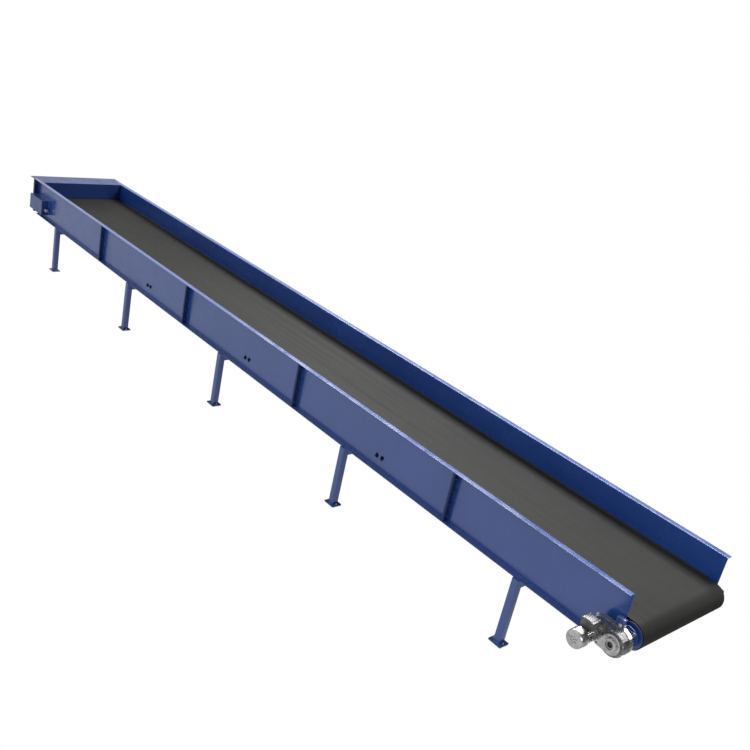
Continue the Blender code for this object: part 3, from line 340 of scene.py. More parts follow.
# Near-black for the slider bed: painted shade in the gap between the belt and the far web.
BED_PAINTED_SHADE = moulded("bed_painted_shade", grey(0.018), 0.55)
BOLT_STEEL = turned_steel("bolt_zinc", grey(0.56, -0.02), 0.26, 0.45)
BLACK_BOLT = turned_steel("bolt_black", (0.012, 0.018, 0.040), 0.40, 0.60)


# -------- mesh tools

SMOOTH_ANGLE = 32.0
FOLD_STEPS = 4


def frame_at(origin, axis, across=None):
    """A matrix whose local Z runs along an axis, and whose local X runs across it."""
    z = Vector(axis).normalized()
    if across is None:
        across = X_AXIS if abs(z.x) < 0.9 else Y_AXIS
    y = z.cross(Vector(across)).normalized()
    x = y.cross(z)
    matrix = Matrix((x, y, z)).transposed().to_4x4()
    matrix.translation = Vector(origin)
    return matrix


def loft(shape, rings, closed=False):
    """Joins rings of equally many points with faces and caps the ends, or closes the loop of rings."""
    rows = [[shape.verts.new(point) for point in ring] for ring in rings]
    count = len(rows[0])
    pairs = list(zip(rows, rows[1:]))
    if closed:
        pairs.append((rows[-1], rows[0]))
    for lower, upper in pairs:
        for index in range(count):
            following = (index + 1) % count
            shape.faces.new((lower[index], lower[following], upper[following], upper[index]))
    if not closed:
        shape.faces.new(list(reversed(rows[0])))
        shape.faces.new(rows[-1])


def turned(shape, profile, matrix, sides=32, hollow=False):
    """A turned body from (radius, height) points that run from its bottom to its top."""
    rings = []
    for radius, height in profile:
        ring = []
        for angle in around(sides):
            ring.append(matrix @ Vector((radius * math.cos(angle), radius * math.sin(angle), height)))
        rings.append(ring)
    loft(shape, rings, hollow)


def extruded(shape, outline, low, high, matrix):
    """A plate with an (x, y) outline between two local heights."""
    loft(shape, [[matrix @ Vector((x, y, height)) for x, y in outline] for height in (low, high)])


def rounded_block(shape, low, high, radius):
    """A box with all its edges rounded."""
    size = Vector(high) - Vector(low)
    matrix = Matrix.Translation((Vector(low) + Vector(high)) / 2) @ Matrix.Diagonal((*size, 1))
    made = bmesh.ops.create_cube(shape, size=1.0, matrix=matrix)
    edges = {edge for vertex in made["verts"] for edge in vertex.link_edges}
    bmesh.ops.bevel(shape, geom=list(edges), offset=radius, segments=3, affect="EDGES", profile=0.5)


def spoke(angle):
    """A direction square to Y, turned by an angle from X towards Z."""
    return Vector((math.cos(angle), 0, math.sin(angle)))


def around(count, first=0.0):
    """Evenly spread angles of a full turn."""
    return [2 * math.pi * number / count + first for number in range(count)]


def arc(centre, radius, start, end, steps):
    """Points on an arc, between two angles in degrees."""
    points = []
    for step in range(steps + 1):
        angle = math.radians(start + (end - start) * step / steps)
        points.append((centre[0] + radius * math.cos(angle), centre[1] + radius * math.sin(angle)))
    return points


def rounded_outline(half_width, half_height, radius, steps=4):
    """A rectangle about the origin with round corners."""
    points = []
    for quarter, (x_sign, y_sign) in enumerate(((1, 1), (-1, 1), (-1, -1), (1, -1))):
        centre = (x_sign * (half_width - radius), y_sign * (half_height - radius))
        points += arc(centre, radius, 90 * quarter, 90 * quarter + 90, steps)
    return points


def filleted(path, radius):
    """Rounds the inner corners of an open path."""
    points = [Vector(path[0])]
    for before, corner, after in zip(path, path[1:], path[2:]):
        corner = Vector(corner)
        arriving = (corner - Vector(before)).normalized()
        leaving = (Vector(after) - corner).normalized()
        turn = arriving.angle(leaving)
        setback = radius * math.tan(turn / 2)
        start = corner - arriving * setback
        end = corner + leaving * setback
        for step in range(FOLD_STEPS + 1):
            share = step / FOLD_STEPS
            control = start.lerp(corner, share).lerp(corner.lerp(end, share), share)
            points.append(control)
    points.append(Vector(path[-1]))
    return points


def folded_section(path, thickness, radius):
    """The closed outline of a folded sheet. The path follows its outer face; the sheet lies to its left."""
    outer = filleted(path, radius)
    inner = []
    for index, point in enumerate(outer):
        before = outer[max(index - 1, 0)]
        after = outer[min(index + 1, len(outer) - 1)]
        direction = (after - before).normalized()
        inner.append(point + Vector((-direction.y, direction.x)) * thickness)
    return [tuple(point) for point in outer] + [tuple(point) for point in reversed(inner)]


def place_object(name, data):
    made = bpy.data.objects.new(name, data)
    bpy.context.scene.collection.objects.link(made)
    return made


def object_from(name, shape):
    """Turns the mesh under construction into an object."""
    bmesh.ops.recalc_face_normals(shape, faces=shape.faces)
    mesh = bpy.data.meshes.new(name)
    shape.to_mesh(mesh)
    shape.free()
    return place_object(name, mesh)


def shade(mesh, smooth_angle):
    mesh.shade_smooth()
    mesh.set_sharp_from_angle(angle=math.radians(smooth_angle))


def finish_piece(name, shape, slot, body="frame", look=None, smooth_angle=SMOOTH_ANGLE, replaced=()):
    """Turns the mesh under construction into a piece, which rides on a body if one is given."""
    piece = object_from(name, shape)
    shade(piece.data, smooth_angle)
    piece.data.materials.append(look or LOOKS[slot])
    if body is not None:
        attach(piece, body)
    if replaced:
        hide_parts(*replaced)
    return piece


def cut_away(piece, outline, low, high, matrix):
    """Cuts a prism out of a piece."""
    shape = bmesh.new()
    extruded(shape, outline, low, high, matrix)
    cutter = object_from("cutter", shape)
    modifier = piece.modifiers.new("cut", "BOOLEAN")
    modifier.operation = "DIFFERENCE"
    modifier.solver = "EXACT"
    modifier.object = cutter
    graph = bpy.context.evaluated_depsgraph_get()
    piece.data = bpy.data.meshes.new_from_object(piece.evaluated_get(graph))
    piece.modifiers.clear()
    shade(piece.data, SMOOTH_ANGLE)
    bpy.data.objects.remove(cutter, do_unlink=True)


# -------- fasteners and welds

M10 = 0.010
M12 = 0.012
M14 = 0.014
M16 = 0.016
WASHER_RADIUS = 1.10  # these shares are of a bolt's thread diameter
WASHER_HEIGHT = 0.16
HEAD_RADIUS = 0.87  # across the corners
HEAD_HEIGHT = 0.62
WELD_RIPPLE = 0.004
LIFT = 0.0003  # keeps faces that meet out of one plane


def hexagon(shape, size, matrix, height):
    """A hexagon head or nut with its chamfered corners and washer face."""
    corner = HEAD_RADIUS * size
    flat = corner * math.cos(math.pi / 6)
    profile = [(flat * 0.97, 0), (corner, height * 0.10), (corner, height * 0.86), (flat * 0.92, height)]
    turned(shape, profile, matrix, 6)


def bolt(shape, at, axis, size, stick_out=0.0):
    """A washer and a hexagon on a face. With stick_out it is a nut on the end of a threaded stud."""
    matrix = frame_at(at, axis)
    washer = WASHER_HEIGHT * size
    radius = WASHER_RADIUS * size
    turned(shape, [(radius, LIFT), (radius, washer * 0.8), (radius * 0.95, washer)], matrix, 20)
    seat = matrix @ Matrix.Translation((0, 0, washer))
    top = HEAD_HEIGHT * size
    hexagon(shape, size, seat, top)
    if stick_out:
        threaded(shape, size / 2, top - 0.001, top + stick_out, seat, size * 0.14)
    else:
        disc = size * 0.62
        turned(shape, [(disc, top - 0.0005), (disc, top + 0.0004), (disc * 0.9, top + 0.0008)], seat, 16)


def threaded(shape, radius, low, high, matrix, pitch):
    """A rod with a turned thread form."""
    turns = max(2, round((high - low) / pitch))
    step = (high - low) / turns
    root = radius * 0.86
    profile = []
    for turn in range(turns):
        base = low + turn * step
        profile += [(root, base), (radius, base + step * 0.38), (radius, base + step * 0.62)]
    profile += [(root, high), (radius * 0.70, high + radius * 0.16)]
    turned(shape, profile, matrix, 20)


def socket_screw(shape, at, axis, size):
    """A cap screw: a round head with a small raised hexagon on it."""
    matrix = frame_at(at, axis)
    head = 0.78 * size
    turned(shape, [(head, 0.0002), (head, size * 0.86), (head * 0.92, size)], matrix, 20)
    socket = [(size * 0.42, size * 0.999), (size * 0.42, size * 1.01), (size * 0.30, size * 1.012)]
    turned(shape, socket, matrix, 6)


def weld_bead(shape, start, end, face, size):
    """A rippled fillet weld between two points, facing away from its corner."""
    start = Vector(start)
    end = Vector(end)
    length = (end - start).length
    steps = max(4, int(length / WELD_RIPPLE / 2))
    along = (end - start).normalized()
    face = Vector(face).normalized()
    side = along.cross(face)
    rings = []
    for step in range(steps + 1):
        swell = size * (1.0 + 0.10 * math.cos(step * math.pi) + 0.05 * math.sin(step * 1.7))
        centre = start + along * (length * step / steps)
        ring = []
        for turn in range(7):
            angle = math.radians(-90 + 180 * turn / 6)
            ring.append(centre + face * (swell * 0.75 * math.cos(angle)) + side * (swell * math.sin(angle)))
        rings.append(ring)
    loft(shape, rings)


def finish_bolts(name, shape, body="frame", look=BOLT_STEEL):
    finish_piece(name, shape, "bright_steel", body, look)


# -------- side frames

SHEET = 0.005
BEND = 0.007  # outer radius of a fold
SPLICE_PLATE = 0.010
SPLICE_WIDTH = FLANGE - 0.001
SPLICE_BOLT_HEIGHTS = (0.055, 0.160, 0.270, 0.375)
SPLICE_BOLT_DEPTH = 0.028
PLATE_WELD = 0.005
SLOT_HALF_WIDTH = 0.013
SLOT_HALF_HEIGHT = 0.025
SLOT_HALF_SPACING = 0.0325
SLOT_Z = FRAME_Z + 0.109
TAKE_UP_TRAVEL = 0.080
TAIL_SLOT_RADIUS = 0.023
TAIL_CORNER_LENGTH = 0.110  # what is cut from the first channel's lower flange
TAIL_CORNER_HEIGHT = 0.060
NOTCH_REACH = 0.120  # from the drive pulley's axis
NOTCH_HEIGHT = 0.192
NOTCH_RADIUS = 0.020

# An outline's x, its y and its height go to Y, Z and X in the first, and to X, Z and Y in the second.
ALONG_X = Matrix(((0, 0, 1, 0), (1, 0, 0, 0), (0, 1, 0, 0), (0, 0, 0, 1)))
ALONG_Y = Matrix(((1, 0, 0, 0), (0, 0, 1, 0), (0, 1, 0, 0), (0, 0, 0, 1)))


def channel_section(side):
    """The folded channel, seen along X, as (y, z) points: its web on the inside, its flanges outward."""
    web = WEB_Y[side]
    flange = outside(side, FLANGE)
    path = [(flange, FRAME_TOP), (web, FRAME_TOP), (web, FRAME_Z), (flange, FRAME_Z)]
    if side == FAR:
        return folded_section(path, SHEET, BEND)
    mirrored = folded_section([(-y, z) for y, z in path], SHEET, BEND)
    return [(-y, z) for y, z in mirrored]


def splice_outline(side):
    """A splice plate between the flanges, as (y, z) points."""
    inner = outside(side, 0.0045)
    outer = outside(side, SPLICE_WIDTH)
    low = FRAME_Z + SHEET * 0.9
    high = FRAME_TOP - SHEET * 0.9
    return [(inner, low), (outer, low), (outer, high), (inner, high)]


def build_channels():
    """The channels of both side frames, with the splice plates at their ends."""
    for side, side_name in SIDES:
        section = channel_section(side)
        for index in range(SECTIONS):
            ending = f"{side_name}_{index + 1}"
            node = f"side_channel_{ending}"
            low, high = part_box(node)
            shape = bmesh.new()
            extruded(shape, section, low.x, high.x, ALONG_X)
            piece = finish_piece(f"channel_{ending}", shape, "frame_paint", replaced=(node,))
            cut_channel(piece, side, index, low, high)
            plates = bmesh.new()
            add_splice_plate(plates, side, low.x, 1)
            if index < SECTIONS - 1:
                add_splice_plate(plates, side, high.x, -1)
            # The splice plates wear the darker copy of the frame paint: painted shade.
            finish_piece(f"splice_plates_{ending}", plates, "frame_paint", look=PAINTED_SHADE_BLUE)


def add_splice_plate(shape, side, end_x, inward):
    """A splice plate at one end of a channel, welded to the web and to the bottom flange."""
    inner_x = end_x + inward * SPLICE_PLATE
    extruded(shape, splice_outline(side), min(end_x, inner_x), max(end_x, inner_x), ALONG_X)
    web_face = outside(side, SHEET)
    low = (inner_x, web_face, FRAME_Z + 0.020)
    high = (inner_x, web_face, FRAME_TOP - 0.020)
    weld_bead(shape, low, high, (inward, side, 0), PLATE_WELD)
    floor = FRAME_Z + SHEET
    start = (inner_x, web_face + side * 0.012, floor)
    end = (inner_x, outside(side, SPLICE_WIDTH - 0.008), floor)
    weld_bead(shape, start, end, (inward, 0, 1), PLATE_WELD)


def cut_channel(piece, side, index, low, high):
    """Cuts what the frame's own channel has cut: the tail slot, bracket slots or the drive notch."""
    web = sorted((outside(side, -0.02), outside(side, 0.02)))
    below = FRAME_Z - 0.01
    if index == 0:
        slot = arc((TAIL.x + TAKE_UP_TRAVEL, TAIL.z), TAIL_SLOT_RADIUS, -90, 90, 12)
        slot += arc((TAIL.x, TAIL.z), TAIL_SLOT_RADIUS, 90, 270, 12)
        cut_away(piece, slot, *web, ALONG_Y)
        start = low.x - 0.01
        end = low.x + TAIL_CORNER_LENGTH
        top = FRAME_Z + TAIL_CORNER_HEIGHT
        flange = sorted((outside(side, SHEET), outside(side, 0.12)))
        cut_away(piece, [(start, below), (end, below), (end, top), (start, top)], *flange, ALONG_Y)
    elif index == SECTIONS - 1:
        start = DRIVE.x - NOTCH_REACH
        end = high.x + 0.02
        top = FRAME_Z + NOTCH_HEIGHT
        corner = arc((start + NOTCH_RADIUS, top - NOTCH_RADIUS), NOTCH_RADIUS, 90, 180, 6)
        whole = sorted((outside(side, -0.02), outside(side, 0.12)))
        cut_away(piece, [(end, below), (end, top), *corner, (start, below)], *whole, ALONG_Y)
    else:
        roller_x = middle_of(f"return_roller_{index}").x
        reach = SLOT_HALF_HEIGHT - SLOT_HALF_WIDTH
        for step in (-1, 1):
            x = roller_x + step * SLOT_HALF_SPACING
            slot = arc((x, SLOT_Z + reach), SLOT_HALF_WIDTH, 0, 180, 10)
            slot += arc((x, SLOT_Z - reach), SLOT_HALF_WIDTH, 180, 360, 10)
            cut_away(piece, slot, *web, ALONG_Y)


def build_splice_bolts():
    """Bolts through each pair of splice plates: heads on the tail side, nuts on the drive side."""
    for side, side_name in SIDES:
        depth = outside(side, SPLICE_BOLT_DEPTH)
        for index in range(SECTIONS):
            ending = f"{side_name}_{index + 1}"
            joint_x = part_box(f"side_channel_{ending}")[0].x
            shape = bmesh.new()
            heights = SPLICE_BOLT_HEIGHTS[2:] if index == 0 else SPLICE_BOLT_HEIGHTS
            for height in heights:
                z = FRAME_Z + height
                bolt(shape, (joint_x - SPLICE_PLATE - LIFT, depth, z), -X_AXIS, M12)
                bolt(shape, (joint_x + SPLICE_PLATE, depth, z), X_AXIS, M12, 0.008)
            # The splice bolts wear the darker copy of the frame paint: painted shade.
            finish_piece(f"splice_bolts_{ending}", shape, "frame_paint", look=PAINTED_SHADE_BLUE)


# -------- leg frames

TUBE_HALF = 0.030
TUBE_CORNER = 0.006
POST_INSET = 0.050
BEAM_DROP = 0.010  # from the side frames down to the cross beam
FOOT_PLATE = 0.010
FOOT_HALF_LENGTH = 0.060
FOOT_HALF_WIDTH = 0.050
ANCHOR_REACH = 0.045
LEG_WELD = 0.004
SUNK = 0.9  # the share of a foot plate or post at which a tube that meets it begins


def build_legs():
    """Welded legs, each of two posts on foot plates and a cross beam, and their anchor bolts."""
    tube = rounded_outline(TUBE_HALF, TUBE_HALF, TUBE_CORNER)
    plate = rounded_outline(FOOT_HALF_LENGTH, FOOT_HALF_WIDTH, TUBE_CORNER)
    weld_half = TUBE_HALF - TUBE_CORNER
    beam_z = FRAME_Z - BEAM_DROP - TUBE_HALF
    for index in range(SECTIONS):
        node = f"leg_frame_{index + 1}"
        low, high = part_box(node)
        centre_x = (low.x + high.x) / 2
        posts = (low.y + POST_INSET, high.y - POST_INSET)
        shape = bmesh.new()
        bolts = bmesh.new()
        for post_y in posts:
            foot_at = Matrix.Translation((centre_x, post_y, 0))
            extruded(shape, tube, FOOT_PLATE * SUNK, high.z, foot_at)
            extruded(shape, plate, 0, FOOT_PLATE, foot_at)
            for x_sign, y_sign in ((-1, 0), (1, 0), (0, -1), (0, 1)):
                out = Vector((x_sign, y_sign, 0))
                middle = Vector((centre_x, post_y, FOOT_PLATE)) + TUBE_HALF * out
                reach = weld_half * (Y_AXIS if x_sign else X_AXIS)
                weld_bead(shape, middle - reach, middle + reach, out + Z_AXIS, LEG_WELD)
            for x_sign in (-1, 1):
                bolt(bolts, (centre_x + x_sign * ANCHOR_REACH, post_y, FOOT_PLATE), Z_AXIS, M10, 0.010)
        beam_at = frame_at((centre_x, posts[0] + TUBE_HALF * SUNK, beam_z), Y_AXIS)
        extruded(shape, tube, 0, posts[1] - posts[0] - 2 * SUNK * TUBE_HALF, beam_at)
        for post_y, inward in ((posts[0], 1), (posts[1], -1)):
            face_y = post_y + inward * TUBE_HALF
            for z_sign in (-1, 1):
                z = beam_z + z_sign * TUBE_HALF
                start = (centre_x - weld_half, face_y, z)
                end = (centre_x + weld_half, face_y, z)
                weld_bead(shape, start, end, (0, inward, z_sign), LEG_WELD)
        finish_piece(f"leg_{index + 1}", shape, "frame_paint", replaced=(node,))
        finish_bolts(f"anchor_bolts_{index + 1}", bolts)


# -------- belt

BELT_THICKNESS = 0.005
BELT_EDGE = 0.0012  # how far its edges are rounded
STRAIGHT_STEPS = 24
TURN_STEPS = 48


def build_belt():
    """A closed loop with rounded edges."""
    outer = (BELT_HIGH.z - BELT_LOW.z) / 2
    inner = outer - BELT_THICKNESS
    drive_x = BELT_HIGH.x - outer
    tail_x = BELT_LOW.x + outer
    axis_z = (BELT_HIGH.z + BELT_LOW.z) / 2
    near = BELT_LOW.y
    far = BELT_HIGH.y
    edge = BELT_EDGE
    top = BELT_THICKNESS
    across = [(near, top - edge), (near + edge, top), (far - edge, top), (far, top - edge)]
    across += [(far, edge), (far - edge, 0), (near + edge, 0), (near, edge)]
    stations = []
    for start_x, end_x, angle in ((tail_x, drive_x, 90.0), (drive_x, tail_x, -90.0)):
        for step in range(1, STRAIGHT_STEPS):
            stations.append((start_x + (end_x - start_x) * step / STRAIGHT_STEPS, angle))
        for step in range(TURN_STEPS + 1):
            stations.append((end_x, angle - 180.0 * step / TURN_STEPS))
    rings = []
    for x, angle in stations:
        outward = spoke(math.radians(angle))
        rings.append([Vector((x, y, axis_z)) + outward * (inner + height) for y, height in across])
    shape = bmesh.new()
    loft(shape, rings, closed=True)
    belt = finish_piece("belt", shape, "belt_cover", None, smooth_angle=40, replaced=("conveyor_belt",))
    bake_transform(belt)


# -------- rollers, bearings and pulleys

BRACKET_FACE = -0.0066  # the return bracket's face, inside the web
ROLLER_BORE = 0.0115
AXLE_NUT = 0.0105
HOUSING_FACE = 0.014
HOUSING_BOLT_REACH = 0.042
NIPPLE_DEPTH = 0.026


def build_rollers():
    """The return rollers with their dished ends, and the bolts of their brackets and axles."""
    for index in range(1, 4):
        node = f"return_roller_{index}"
        low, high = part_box(node)
        centre = middle_of(node)
        radius = (high.z - low.z) / 2
        half = (high.y - low.y) / 2
        shape = bmesh.new()
        end = [
            (ROLLER_BORE, half - 0.004), (0.020, half - 0.004), (0.024, half - 0.0015),
            (radius - 0.003, half), (radius, half - 0.003),
        ]
        shell = [(reach, -height) for reach, height in end] + end[::-1]
        turned(shape, shell, frame_at(centre, Y_AXIS), 48, hollow=True)
        finish_piece(f"roller_{index}", shape, "galvanised_steel", f"{node}_body", replaced=(node,))
        bolts = bmesh.new()
        for side, _ in SIDES:
            inner_y = outside(side, BRACKET_FACE)
            for step in (-1, 1):
                x = centre.x + step * SLOT_HALF_SPACING
                z = SLOT_Z + step * 0.003
                bolt(bolts, (x, outside(side, SHEET), z), side * Y_AXIS, M16)
                bolt(bolts, (x, inner_y, z), -side * Y_AXIS, M12, 0.006)
            bolt(bolts, (centre.x, inner_y, centre.z), -side * Y_AXIS, AXLE_NUT)
        finish_bolts(f"roller_bolts_{index}", bolts, look=BLACK_BOLT)


def build_drive_bearings():
    """Bolts of the flange bearings and their plates, locking collars and grease nipples."""
    for side, side_name in SIDES:
        away = side * Y_AXIS
        low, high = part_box(f"bearing_housing_{side_name}")
        plate_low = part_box(f"bearing_plate_{side_name}")[0]
        shape = bmesh.new()
        for x_sign, z_sign in CORNERS:
            x = DRIVE.x + x_sign * HOUSING_BOLT_REACH
            z = DRIVE.z + z_sign * HOUSING_BOLT_REACH
            bolt(shape, (x, outside(side, HOUSING_FACE), z), away, M12)
        for x in (0.030, 0.095):
            for z in (0.082, 0.142):
                bolt(shape, (plate_low.x + x, outside(side, SHEET), FRAME_Z + z), away, M12)
        finish_bolts(f"bearing_bolts_{side_name}", shape)
        collar = bmesh.new()
        collar_at = frame_at((DRIVE.x, high.y if side == FAR else low.y, DRIVE.z), away)
        ring = [
            (0.0258, -0.002), (0.036, -0.002), (0.037, 0.0), (0.037, 0.0028),
            (0.0362, 0.0038), (0.0258, 0.0038),
        ]
        turned(collar, ring, collar_at, 40, hollow=True)
        nipple_at = frame_at((DRIVE.x, outside(side, NIPPLE_DEPTH), DRIVE.z + 0.044), Z_AXIS)
        nipple = [
            (0.0040, 0), (0.0040, 0.004), (0.0024, 0.006), (0.0030, 0.009), (0.0030, 0.011),
            (0.0014, 0.013),
        ]
        turned(collar, nipple, nipple_at, 12)
        finish_piece(f"bearing_collar_{side_name}", collar, "bright_steel")


def build_pulley_ends():
    """Hubs with taper bushes and their screws on the ends of both pulleys."""
    for label, centre, shaft, rim in (("drive", DRIVE, 0.0254, 0.060), ("tail", TAIL, 0.0204, 0.055)):
        low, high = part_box(f"{label}_pulley")
        for side, side_name in SIDES:
            end_y = low.y if side == NEAR else high.y
            matrix = frame_at((centre.x, end_y, centre.z), side * Y_AXIS)
            shape = bmesh.new()
            hub = [
                (shaft, 0.0), (rim, 0.0), (rim - 0.002, 0.004), (shaft + 0.018, 0.006),
                (shaft + 0.017, 0.011), (shaft, 0.011),
            ]
            turned(shape, hub, matrix, 48, hollow=True)
            reach = shaft + 0.0085
            for angle in around(3, 0.4):
                at = matrix @ Vector((reach * math.cos(angle), reach * math.sin(angle), 0.011))
                socket_screw(shape, at, side * Y_AXIS, 0.004)
            if label == "drive":
                lagged = (high.z - low.z) / 2 + 0.0002
                painted = [(lagged, 0.0), (0.0962, 0.0), (0.0958, 0.0010), (lagged, 0.0010)]
                turned(shape, painted, matrix, 64, hollow=True)
            name = f"pulley_hub_{label}_{side_name}"
            finish_piece(name, shape, "pulley_paint", f"{label}_pulley_assembly")


# -------- take-up

SCREW_RADIUS = 0.0100
SCREW_HEAD = 0.026
NUT_BORE = 0.0106
NUT_CORNER = 0.019
TAKE_UP_WELD = 0.0045


def build_take_up():
    """On each side the tensioning screw, its nut, the take-up frame's welds and the block's screws."""
    for side, side_name in SIDES:
        node = f"take_up_screw_{side_name}"
        low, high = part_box(node)
        centre = middle_of(node)
        length = high.x - low.x
        frame_low, frame_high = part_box(f"take_up_frame_{side_name}")
        screw = bmesh.new()
        screw_at = frame_at((low.x, centre.y, centre.z), X_AXIS)
        collar = [
            (SCREW_RADIUS, 0.0), (0.0160, 0.0), (0.0160, 0.010), (0.0145, 0.012),
            (SCREW_RADIUS, 0.012),
        ]
        turned(screw, collar, screw_at, 32)
        threaded(screw, SCREW_RADIUS, 0.011, length - 0.020, screw_at, 0.004)
        hexagon(screw, 0.0250, screw_at @ Matrix.Translation((0, 0, length - SCREW_HEAD)), SCREW_HEAD)
        finish_piece(f"screw_{side_name}", screw, "bright_steel", f"{node}_body", replaced=(node,))
        nut = bmesh.new()
        nut_profile = [
            (NUT_BORE, LIFT), (NUT_CORNER * 0.9, LIFT), (NUT_CORNER, 0.002),
            (NUT_CORNER, 0.013), (NUT_CORNER * 0.86, 0.0155), (NUT_BORE, 0.0155),
        ]
        nut_at = frame_at((frame_high.x, centre.y, centre.z), X_AXIS)
        turned(nut, nut_profile, nut_at, 6, hollow=True)
        finish_bolts(f"take_up_nut_{side_name}", nut)
        welds = bmesh.new()
        web_face = outside(side, SHEET)
        for z, up in ((frame_low.z, -1), (frame_high.z, 1)):
            start = (frame_low.x + 0.01, web_face, z)
            end = (frame_high.x - 0.004, web_face, z)
            weld_bead(welds, start, end, (0, side, up), TAKE_UP_WELD)
        start = (frame_high.x, web_face, frame_low.z + 0.004)
        end = (frame_high.x, web_face, frame_high.z - 0.004)
        weld_bead(welds, start, end, (1, side, 0), TAKE_UP_WELD)
        finish_piece(f"take_up_welds_{side_name}", welds, "frame_paint")
        block_low, block_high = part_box(f"take_up_block_{side_name}")
        block_y = block_low.y if side == NEAR else block_high.y
        screws = bmesh.new()
        for x_sign, z_sign in CORNERS:
            at = (TAIL.x + x_sign * 0.028, block_y, TAIL.z + z_sign * 0.045)
            socket_screw(screws, at, side * Y_AXIS, 0.005)
        finish_bolts(f"take_up_block_screws_{side_name}", screws, "take_up_carriage")


# -------- gear unit and motor

CASE_DEPTH = 0.165
COVER_DEPTH = 0.178
HUB_DEPTH = 0.190
COVER_SCREW_REACH = 0.059
SEAL_BORE = 0.0312


def case_points(growth, count):
    """Evenly spread points (x, z) round the gear case's rim, for its screws."""
    first = Vector((MOTOR.x, FRAME_Z + 0.145))
    first_radius = 0.070 + growth
    second = Vector((DRIVE.x, DRIVE.z))
    second_radius = 0.088 + growth
    between = second - first
    lean = math.degrees(math.atan2(between.y, between.x))
    wrap = math.degrees(math.acos((first_radius - second_radius) / between.length))
    outline = arc(second, second_radius, lean - wrap, lean + wrap, 40)
    outline += arc(first, first_radius, lean + wrap, lean + 360 - wrap, 40)
    lengths = [0.0]
    for start, end in zip(outline, outline[1:] + outline[:1]):
        lengths.append(lengths[-1] + math.dist(start, end))
    points = []
    for number in range(count):
        target = lengths[-1] * number / count
        index = max(i for i, value in enumerate(lengths[:-1]) if value <= target)
        following = outline[(index + 1) % len(outline)]
        share = (target - lengths[index]) / max(1e-9, lengths[index + 1] - lengths[index])
        points.append(Vector(outline[index]).lerp(Vector(following), share))
    return points


def gear_face(depth):
    """A face of the gear unit round the drive shaft, looking outward."""
    return frame_at(drive_place(DRIVE.x, depth, DRIVE.z), OUTWARD)


def build_gear_unit():
    """The small parts of the gear unit: screws, hub ring, seal, a black cap in the shaft's bore as painted
    shade, torque arm, plugs and ribs.
    """
    screws = bmesh.new()
    for point in case_points(-0.0035, 12):
        if point.x > DRIVE.x - 0.12 and math.dist(point, (DRIVE.x, DRIVE.z)) > 0.078:
            socket_screw(screws, drive_place(point.x, CASE_DEPTH, point.y), OUTWARD, 0.0045)
    for angle in around(6, 0.3):
        reach = COVER_SCREW_REACH * spoke(angle)
        socket_screw(screws, drive_place(DRIVE.x, COVER_DEPTH, DRIVE.z) + reach, OUTWARD, 0.005)
    finish_bolts("gear_cover_screws", screws)

    ring = bmesh.new()
    ring_profile = [
        (SEAL_BORE, 0.0), (0.046, 0.0), (0.0455, 0.0018), (0.040, 0.0030), (0.0345, 0.0018),
        (SEAL_BORE, 0.0018),
    ]
    turned(ring, ring_profile, gear_face(HUB_DEPTH), 48, hollow=True)
    finish_piece("gear_hub_ring", ring, "cast_aluminium")

    seal = bmesh.new()
    lip = [(SEAL_BORE, 0.0), (0.0330, 0.0), (0.0330, 0.0035), (SEAL_BORE, 0.0045)]
    turned(seal, lip, gear_face(0.1845), 48, hollow=True)
    finish_piece("gear_shaft_seal", seal, "lagging_rubber")

    # A black plastic cap deep in the hollow shaft's bore: painted shade of the recess.
    cap = bmesh.new()
    dome = [(0.0195, 0.0), (0.0195, 0.0030), (0.0180, 0.0040), (0.0060, 0.0042)]
    turned(cap, dome, gear_face(0.1685), 40)
    finish_piece("bore_shade_cap", cap, "fan_plastic", "drive_pulley_assembly")

    build_torque_arm()

    plugs = bmesh.new()
    for x, z in ((0.058, -0.063), (-0.055, 0.089)):
        direction = Vector((x, 0, z)).normalized()
        base = drive_place(DRIVE.x, 0.132, DRIVE.z) + direction * 0.0875
        hexagon(plugs, 0.011, frame_at(base, direction), 0.006)
    finish_bolts("gear_oil_plugs", plugs)

    ribs = bmesh.new()
    outline = [(-0.004, -0.003), (-0.058, -0.003), (-0.058, 0.003), (-0.004, 0.003)]
    for angle in (-150, -115, -80, -45, -10):
        direction = spoke(math.radians(angle))
        base = drive_place(DRIVE.x, 0.104, DRIVE.z) + direction * 0.084
        extruded(ribs, outline, 0, 0.0065, frame_at(base, direction, Y_AXIS))
    finish_piece("gear_case_ribs", ribs, "gear_casting")


def build_torque_arm():
    """The sleeve round the torque arm and its two bolts."""
    low = drive_place(DRIVE.x - 0.0585, 0.0995, FRAME_Z + 0.212)
    high = drive_place(DRIVE.x + 0.0015, 0.0665, FRAME_Z + 0.2815)
    sleeve = bmesh.new()
    rounded_block(sleeve, low, high, 0.003)
    finish_piece("torque_arm_sleeve", sleeve, "pulley_paint")
    bolts = bmesh.new()
    bolt(bolts, (DRIVE.x - 0.020, low.y, low.z + 0.022), OUTWARD, M14)
    bolt(bolts, (high.x, (low.y + high.y) / 2, low.z + 0.026), X_AXIS, M12)
    finish_bolts("torque_arm_bolts", bolts)


COWL_WALL = 0.0018
LID_LIP = 0.0045  # how far the lid's raised middle stands above its rim
LID_SCREW_INSET = 0.009
GLAND_BORE = 0.0112
GLAND_CORNER = 0.0145


